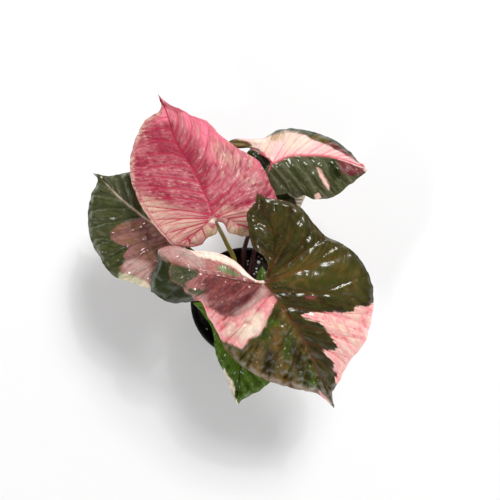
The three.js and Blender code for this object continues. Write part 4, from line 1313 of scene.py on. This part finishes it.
def leaf_material(place, underside):
    """A blade's variegated skin, or its paler underside."""
    finish = bpy.context.scene.plant_finish
    ground = GROUNDS[place]
    material, tree, shader = new_material(place + (" underside" if underside else " face"), {
        "Coat Weight": 0.0 if underside else ground["coat"],
        "Coat Roughness": COAT_ROUGHNESS,
        "Roughness": UNDERSIDE_ROUGHNESS if underside else ground["gloss"],
        "Specular IOR Level": ground["shine"],
    })
    spot = pattern_place(tree)
    streaks = use(tree, "Leaf streaks", {"Place": spot})
    vein = stored(tree, "vein")
    net = use(tree, "Leaf net", {"Place": spot})["Net"]

    def tissue_colour(tissue):
        first, second, share, soft, third, third_share, vein_colour, strength, net_strength = TISSUES[tissue]
        mottled = use(tree, "Leaf mottle", {
            "First": getattr(finish, first), "Second": getattr(finish, second), "Share": share, "Soft": soft,
            "Third": getattr(finish, third), "Third share": third_share,
            "Fine": streaks["Fine"], "Broad": streaks["Broad"], "Flecks": streaks["Flecks"]})
        return use(tree, "Leaf veins", {
            "Colour": mottled["Colour"], "Vein colour": getattr(finish, vein_colour),
            "Distance": vein, "Width": ground["vein_width"],
            "Strength": strength, "Net": net, "Net strength": net_strength})["Colour"]

    skin = tissue_colour(ground["tissue"])
    for index, patch in enumerate(PATCHES[place]):
        skin = use(tree, "Leaf variegation", {
            "Under": skin, "Over": tissue_colour(patch["tissue"]), "Inside": stored(tree, f"patch_{index}"),
            "Fine": streaks["Fine"], "Jagged": JAGGEDNESS * patch["jagged"], "Soft": patch["soft"]})["Colour"]
    skin = use(tree, "Leaf veins", {
        "Colour": skin, "Vein colour": getattr(finish, ground["rib"]), "Distance": stored(tree, "rib"),
        "Width": RIB_TINT_WIDTH, "Strength": RIB_TINT, "Net": 0.0, "Net strength": 0.0})["Colour"]
    if underside:
        skin = blend(tree, UNDERSIDE_PALENESS, skin, finish.sage)
    relief = use(tree, "Leaf skin", {"Place": spot, "Net": net, "Strength": ground["skin"]})
    fill(tree, shader, {"Base Color": skin, "Normal": relief["Normal"]})
    return material


def stalk_material(kind):
    """A smooth juicy stalk, streaked along its length and paler at its top."""
    finish = bpy.context.scene.plant_finish
    streak_darkness = 0.45
    knuckle_paleness = 0.6
    knuckle_start, knuckle_end = 3.0, 9.0
    material, tree, shader = new_material(
        kind + "_stalk", {"Coat Weight": 0.35, "Coat Roughness": 0.25, "Roughness": 0.42})
    spot = pattern_place(tree)
    tint = getattr(finish, "stalk_" + kind)
    dark = (*[level * streak_darkness for level in tint[:3]], 1.0)
    lines = step(tree, streaked(tree, spot, 1500, 60, detail=4.0), 0.35, 0.7)
    from_top = step(tree, stored(tree, "from_top"), knuckle_start, knuckle_end)
    knuckle = times_plus(tree, from_top, -knuckle_paleness, knuckle_paleness)
    height = streaked(tree, spot, 2200, 90)
    fill(tree, shader, {
        "Base Color": blend(tree, knuckle, blend(tree, lines, tint, dark), finish.sage),
        "Normal": bumped(tree, height, 0.3, 0.3)})
    return material


def plastic_material():
    """Thin black moulded plastic with a film of dust."""
    pot = bpy.context.scene.plant_pot
    most_dust = 0.1
    clean_roughness, dust_roughness = 0.33, 0.22
    material, tree, shader = new_material("Black plastic", {"Specular IOR Level": 0.3})
    place = object_place(tree)
    film = use(tree, "Grime", {"Place": place, "Scale": 45.0})["Mask"]
    fill(tree, shader, {
        "Base Color": blend(tree, times_plus(tree, film, most_dust), pot.plastic, pot.dust),
        "Roughness": times_plus(tree, film, dust_roughness, clean_roughness),
        "Normal": bumped(tree, noise_at(tree, place, 2600.0, 2.0), 0.25, 0.1)})
    return material


def crumb_material(name, dark, light, scale):
    """A matt crumbly stuff of two colours, with finer grit in its relief."""
    grit_scale = 3 * scale
    material, tree, shader = new_material(name, {"Roughness": 0.92})
    place = object_place(tree)
    crumbs = step(tree, noise_at(tree, place, scale, 6.0, 0.7), 0.4, 0.68)
    fill(tree, shader, {
        "Base Color": blend(tree, crumbs, dark, light),
        "Normal": bumped(tree, noise_at(tree, place, grit_scale, 5.0, 0.7), 0.7, 0.7)})
    return material


def floor_material():
    """A matt pale floor with hardly visible unevenness."""
    stage = bpy.context.scene.plant_stage
    darkest = 0.985
    material, tree, shader = new_material("Pale floor", {"Roughness": 0.9, "Specular IOR Level": 0.1})
    shade = noise_at(tree, object_place(tree), 3.0)
    dimmer = (*[level * darkest for level in stage.floor[:3]], 1.0)
    fill(tree, shader, {"Base Color": blend(tree, shade, stage.floor, dimmer)})
    return material


def sky_world(stage):
    """Even light from all round, brighter low down than straight up, and dimmed where it is mirrored."""
    sharpness = 4.0
    world = bpy.data.worlds.new("Even sky")
    world.use_nodes = True
    tree = world.node_tree
    direction = put(tree, "ShaderNodeTexCoord", {}).outputs["Generated"]
    up = put(tree, "ShaderNodeSeparateXYZ", {0: direction}).outputs["Z"]
    low = maths(tree, "SUBTRACT", 1.0, maths(tree, "MULTIPLY", up, up))
    low = maths(tree, "POWER", low, sharpness)
    above = (*[stage.sky_above] * 3, 1.0)
    around = (*[stage.sky_around] * 3, 1.0)
    glossy = put(tree, "ShaderNodeLightPath", {}).outputs["Is Glossy Ray"]
    fill(tree, tree.nodes["Background"], {
        "Color": blend(tree, low, above, around),
        "Strength": times_plus(tree, glossy, stage.sky_mirrored - 1.0, 1.0)})
    return world


# Pieces

class PLANT_OT_stage(bpy.types.Operator):
    """Adds the floor, the even sky, the lamps and the camera."""

    bl_idname = "plant.stage"
    bl_label = "Stage"

    def execute(self, context):
        stage = context.scene.plant_stage
        deselect_all()
        bpy.ops.mesh.primitive_plane_add(size=stage.floor_size)
        floor = new_piece("floor")
        floor.data.materials.append(floor_material())

        context.scene.world = sky_world(stage)
        context.scene.view_settings.view_transform = "Standard"

        behind = Vector((0.6, 1.2, 1.9))
        before = Vector((-0.85, -1.15, 1.6))
        lamps = (
            ("key light", behind, stage.key_power, 0.7),
            ("glint light", behind, stage.glint_power, 0.07),
            ("low light", before, stage.low_power, 0.22),
        )
        for name, towards, power, size in lamps:
            facing = towards.to_track_quat("Z", "Y").to_euler()
            bpy.ops.object.light_add(type="AREA", location=towards, rotation=facing)
            light = context.object
            light.name = name
            light.data.energy = power
            light.data.size = size
        bpy.ops.object.camera_add(location=stage.camera_place, rotation=(stage.camera_lean, 0, 0))
        camera = context.object
        camera.name = "camera"
        camera.data.lens = stage.focal_length
        camera.data.clip_start = 10 * MM
        context.scene.camera = camera
        return {"FINISHED"}


def inside_radius(pot, height):
    """Radius of the pot's inner wall at a height."""
    base = pot.base_radius - pot.wall
    top = pot.rim_radius - pot.lip_overhang
    return base + (height - pot.bottom) / (pot.height - pot.bottom) * (top - base)


class PLANT_OT_pot(bpy.types.Operator):
    """Raises the tapered pot with its lip, ring by ring, and cuts the drain holes."""

    bl_idname = "plant.pot"
    bl_label = "Pot"

    def execute(self, context):
        pot = context.scene.plant_pot
        lip_bottom = pot.height - pot.lip_height
        ledge_bottom = lip_bottom - pot.ledge_drop
        ledge_radius = inside_radius(pot, lip_bottom) + pot.wall + pot.ledge
        inner_top = inside_radius(pot, pot.height)
        bend = pot.lip_round
        corner = 0.3 * bend
        inner_corner = 0.4 * bend
        profile = [
            (pot.base_radius - pot.foot, 0.0),
            (pot.base_radius - 0.4 * pot.foot, 0.15 * pot.foot),
            (inside_radius(pot, pot.foot) + pot.wall, pot.foot),
            (inside_radius(pot, ledge_bottom) + pot.wall, ledge_bottom),
            (ledge_radius, ledge_bottom + pot.ledge),
            (ledge_radius, lip_bottom),
            (pot.rim_radius - bend, lip_bottom),
            (pot.rim_radius - corner, lip_bottom + corner),
            (pot.rim_radius, lip_bottom + bend),
            (pot.rim_radius, pot.height - bend),
            (pot.rim_radius - corner, pot.height - corner),
            (pot.rim_radius - bend, pot.height),
            (inner_top + inner_corner, pot.height),
            (inner_top, pot.height - inner_corner),
            (inside_radius(pot, pot.bottom), pot.bottom),
        ]
        deselect_all()
        radius, height = profile[0]
        bpy.ops.mesh.primitive_circle_add(
            vertices=pot.sides, radius=radius, fill_type="NGON", location=(0, 0, height))
        shell = new_piece("nursery_pot")
        bpy.ops.object.transform_apply(location=True)
        bpy.ops.object.mode_set(mode="EDIT")
        bpy.ops.mesh.select_all(action="SELECT")
        bpy.ops.mesh.flip_normals()
        bpy.ops.mesh.select_mode(type="EDGE")
        for next_radius, next_height in profile[1:]:
            bpy.ops.mesh.extrude_region_move(TRANSFORM_OT_translate={"value": (0, 0, next_height - height)})
            ratio = next_radius / radius
            bpy.ops.transform.resize(value=(ratio, ratio, 1), center_override=(0, 0, next_height))
            radius, height = next_radius, next_height
        bpy.ops.mesh.edge_face_add()
        bpy.ops.mesh.select_all(action="SELECT")
        bpy.ops.mesh.normals_make_consistent(inside=False)
        bpy.ops.object.mode_set(mode="OBJECT")
        self.cut_holes(shell, pot)
        shell.data.materials.clear()
        shell.data.materials.append(plastic_material())
        settle(shell, "pot_plastic", "pot", smooth_angle=math.radians(35))
        return {"FINISHED"}

    def cut_holes(self, shell, pot):
        """Cuts the drain holes with one tool made of joined cylinders."""
        hole_sides = 32
        tools = []
        for i in range(pot.holes):
            angle = 2 * math.pi * (i + 0.5) / pot.holes
            x = pot.hole_circle * math.cos(angle)
            y = pot.hole_circle * math.sin(angle)
            deselect_all()
            bpy.ops.mesh.primitive_cylinder_add(
                vertices=hole_sides, radius=pot.hole_radius, depth=4 * pot.bottom,
                location=(x, y, pot.bottom / 2))
            tools.append(new_piece(f"hole_{i}"))
        tool = join("holes", tools)
        add_modifier(shell, "BOOLEAN", operation="DIFFERENCE", object=tool, solver="EXACT")
        bpy.data.objects.remove(tool)


def mix_height(x, y, mix, rim_radius):
    """Height of the lumpy top of the mix, in metres, from a place in metres."""
    phase = 1.3
    mound = mix.mound * (1 - (x * x + y * y) / rim_radius ** 2)
    broad = 2 * math.pi / mix.lump_length
    fine = 2 * math.pi / mix.fine_lump_length
    lumps = mix.lump * np.sin(broad * x + phase) * np.cos(broad * y)
    return mix.top + mound + lumps + mix.fine_lump * np.sin(fine * (x - y))


class PLANT_OT_mix(bpy.types.Operator):
    """Fills the pot with lumpy mix and strews bark chips and perlite over it."""

    bl_idname = "plant.mix"
    bl_label = "Potting mix"

    def execute(self, context):
        pot = context.scene.plant_pot
        mix = context.scene.plant_mix
        smooth_border = 2 * MM
        side_drop = 6 * MM
        reach = inside_radius(pot, mix.top) - mix.gap
        base = inside_radius(pot, pot.bottom) - mix.gap
        turns = np.linspace(0, 2 * math.pi, mix.spokes + 1)
        radii = reach * np.linspace(0, 1, mix.rings + 1)
        x = np.outer(np.cos(turns), radii)
        y = np.outer(np.sin(turns), radii)
        spots = np.column_stack([x.ravel(), y.ravel()]) / MM
        clods = mix.clod * rough(spots, *CLODS) + mix.crumb * rough(spots, *CRUMBS)
        clods = clods.reshape(x.shape) * np.minimum(1, (reach - radii) / smooth_border)
        top = np.stack([x, y, mix_height(x, y, mix, pot.rim_radius) + clods], axis=2)
        walls = []
        for radius, height in ((reach, mix.top - side_drop), (base, pot.bottom), (0.0, pot.bottom)):
            heights = np.full(len(turns), height)
            wall = np.stack([radius * np.cos(turns), radius * np.sin(turns), heights], axis=1)
            walls.append(wall[:, None])
        body, _, _ = shaped_grid("mix", np.concatenate([top, *walls], axis=1))
        weld(body)
        body.data.materials.append(crumb_material("Potting mix", mix.peat, mix.crumbs, MIX_CRUMBS))
        settle(body, "potting_mix", "potting_mix")

        draw = random.Random(STREW_SEED)
        bark = crumb_material("bark_chips", mix.bark, mix.crumbs, CHIP_CRUMBS)
        perlite = crumb_material("perlite", mix.perlite, mix.perlite, CHIP_CRUMBS)
        self.strew("bark_chips", self.chip_model(), mix.chips, reach, draw, CHIP_SIZES, bark)
        self.strew("perlite", self.grain_model(), mix.grains, reach, draw, GRAIN_SIZES, perlite, OPEN_GRAINS)
        return {"FINISHED"}

    def chip_model(self):
        """A split chip of bark about 3 mm long."""
        deselect_all()
        bpy.ops.mesh.primitive_cube_add(size=1.0)
        chip = new_piece("chip")
        edit(chip)
        bpy.ops.transform.resize(value=(3.2 * MM, 1.9 * MM, 0.8 * MM), center_override=(0, 0, 0))
        bpy.ops.mesh.subdivide(number_cuts=1)
        bpy.ops.transform.vertex_random(offset=0.45 * MM, seed=CHIP_SEED)
        bpy.ops.object.mode_set(mode="OBJECT")
        return chip

    def grain_model(self):
        """A popped grain of perlite about 1 mm in radius."""
        deselect_all()
        bpy.ops.mesh.primitive_ico_sphere_add(subdivisions=2, radius=1.0 * MM)
        grain = new_piece("grain")
        edit(grain)
        bpy.ops.transform.vertex_random(offset=0.28 * MM, seed=GRAIN_SEED)
        bpy.ops.object.mode_set(mode="OBJECT")
        return grain

    def strew(self, name, model, number, reach, draw, sizes, material, chosen=()):
        """Copies a model over the mix at chosen places and at places drawn at random."""
        from_wall = 3 * MM
        raised = 0.3 * MM
        most_tilt = 0.5
        full_turn = 6.28
        rim_radius = bpy.context.scene.plant_pot.rim_radius
        mix = bpy.context.scene.plant_mix
        copies = []
        spots = [(x * MM, y * MM, size) for x, y, size in chosen]
        for _ in range(number):
            distance = (reach - from_wall) * math.sqrt(draw.random())
            angle = 2 * math.pi * draw.random()
            spots.append((distance * math.cos(angle), distance * math.sin(angle), draw.uniform(*sizes)))
        for x, y, size in spots:
            place = Vector((x, y, mix_height(x, y, mix, rim_radius) + raised * size))
            turn = Matrix.Rotation(draw.uniform(0, full_turn), 3, "Z")
            turn = turn @ Matrix.Rotation(draw.uniform(-most_tilt, most_tilt), 3, "X")
            copies.append(copy_of(model, place, turn.to_quaternion(), size))
        bpy.data.objects.remove(model)
        piece = join(name, copies)
        piece.data.materials.append(material)
        settle(piece, "potting_mix")


class PLANT_OT_stalks(bpy.types.Operator):
    """Grows a stalk from the mix to each blade, sheathed at its foot and swollen at its top."""

    bl_idname = "plant.stalks"
    bl_label = "Stalks"

    def execute(self, context):
        materials = {}
        for place, leaf in LEAVES.items():
            kind = GROUNDS[place]["stalk"]
            if kind not in materials:
                materials[kind] = stalk_material(kind)
            piece = self.tube(place, leaf, context.scene.plant_stalk)
            piece.data.materials.append(materials[kind])
            settle(piece, kind + "_stalk", place + "_stalk")
        return {"FINISHED"}

    def route(self, leaf, stalk):
        """Evenly spaced points along the middle of a stalk, after two buried ones, in millimetres."""
        above_mix, below_mix = 3, 2
        into_blade = 0.6
        upright_end = 3
        foot_x, foot_y = leaf["foot"]
        top_x, top_y, junction_z = leaf["junction"]
        mix_top = bpy.context.scene.plant_mix.top / MM
        bend = junction_z - stalk.seat / MM - upright_end
        shown = even_points([
            (foot_x, foot_y, mix_top + above_mix), *leaf["stalk"],
            (top_x, top_y, bend), (top_x, top_y, junction_z - into_blade)], stalk.steps)
        buried = np.array([(foot_x, foot_y, stalk.bottom / MM), (foot_x, foot_y, mix_top - below_mix)])
        return np.vstack([buried, shown])

    def tube(self, place, leaf, stalk):
        """A tube along a leaf's stalk, from its buried end to the underside of the blade."""
        sheath_length = 0.12
        knuckle_place, knuckle_length = 0.97, 0.03
        centres = self.route(leaf, stalk)
        ahead = np.gradient(centres, axis=0)
        ahead /= np.linalg.norm(ahead, axis=1)[:, None]
        shares = np.clip((np.arange(len(centres)) - 2) / stalk.steps, 0, 1)
        radii = stalk.base_radius + (stalk.top_radius - stalk.base_radius) * np.sqrt(shares)
        radii += stalk.sheath * bell(shares, sheath_length)
        radii += stalk.knuckle * bell(shares - knuckle_place, knuckle_length)
        turns = np.linspace(0, 2 * math.pi, stalk.sides + 1)
        across = np.array([1.0, 0.0, 0.0])
        rings = []
        for centre, along, radius in zip(centres, ahead, radii / MM):
            across = across - along * (across @ along)
            across /= np.linalg.norm(across)
            aside = np.cross(along, across)
            rings.append(centre + radius * (np.outer(np.cos(turns), across) + np.outer(np.sin(turns), aside)))
        ends = [np.repeat(centre[None], len(turns), axis=0) for centre in (centres[0], centres[-1])]
        places = np.stack([ends[0], *rings, ends[1]], axis=1)
        piece, column, row = shaped_grid(place + "_petiole", places * MM)
        travelled = np.concatenate([[0, 0], np.cumsum(np.linalg.norm(np.diff(centres, axis=0), axis=1)), [0]])
        pattern = np.stack([turns[column] * stalk.base_radius, travelled[row] * MM], axis=1)
        give_pattern_places(piece, pattern)
        give_number(piece, "from_top", travelled[-2] - travelled[row])
        weld(piece)
        return piece


class PLANT_OT_blades(bpy.types.Operator):
    """Models the six leaf blades with their veins, waves and variegated skins."""

    bl_idname = "plant.blades"
    bl_label = "Leaf blades"

    def execute(self, context):
        for place, leaf in LEAVES.items():
            piece = blade_piece(place, leaf, context.scene.plant_blade)
            piece.data.materials.append(leaf_material(place, underside=False))
            piece.data.materials.append(leaf_material(place, underside=True))
            settle(piece, GROUNDS[place]["slot"], place + "_blade")
        return {"FINISHED"}


class PLANT_PT_panel(bpy.types.Panel):
    """Lists the plant's pieces in the sidebar."""

    bl_label = "Potted arrowhead plant"
    bl_space_type = "VIEW_3D"
    bl_region_type = "UI"
    bl_category = "Plant"

    def draw(self, context):
        for operator in OPERATORS:
            self.layout.operator(operator.bl_idname)


OPERATORS = (PLANT_OT_stage, PLANT_OT_pot, PLANT_OT_mix, PLANT_OT_stalks, PLANT_OT_blades)
SETTINGS = {
    "plant_pot": PotSettings,
    "plant_mix": MixSettings,
    "plant_blade": BladeSettings,
    "plant_stalk": StalkSettings,
    "plant_finish": FinishSettings,
    "plant_stage": StageSettings,
}


def register():
    for kind in (*SETTINGS.values(), *OPERATORS, PLANT_PT_panel):
        bpy.utils.register_class(kind)
    for name, kind in SETTINGS.items():
        setattr(bpy.types.Scene, name, PointerProperty(type=kind))


def unregister():
    for name in SETTINGS:
        delattr(bpy.types.Scene, name)
    for kind in (PLANT_PT_panel, *OPERATORS, *SETTINGS.values()):
        bpy.utils.unregister_class(kind)


def main():
    register()
    build_groups()
    bpy.ops.plant.stage()
    bpy.ops.plant.pot()
    bpy.ops.plant.mix()
    bpy.ops.plant.stalks()
    bpy.ops.plant.blades()
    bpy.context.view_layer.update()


if __name__ == "__main__":
    main()
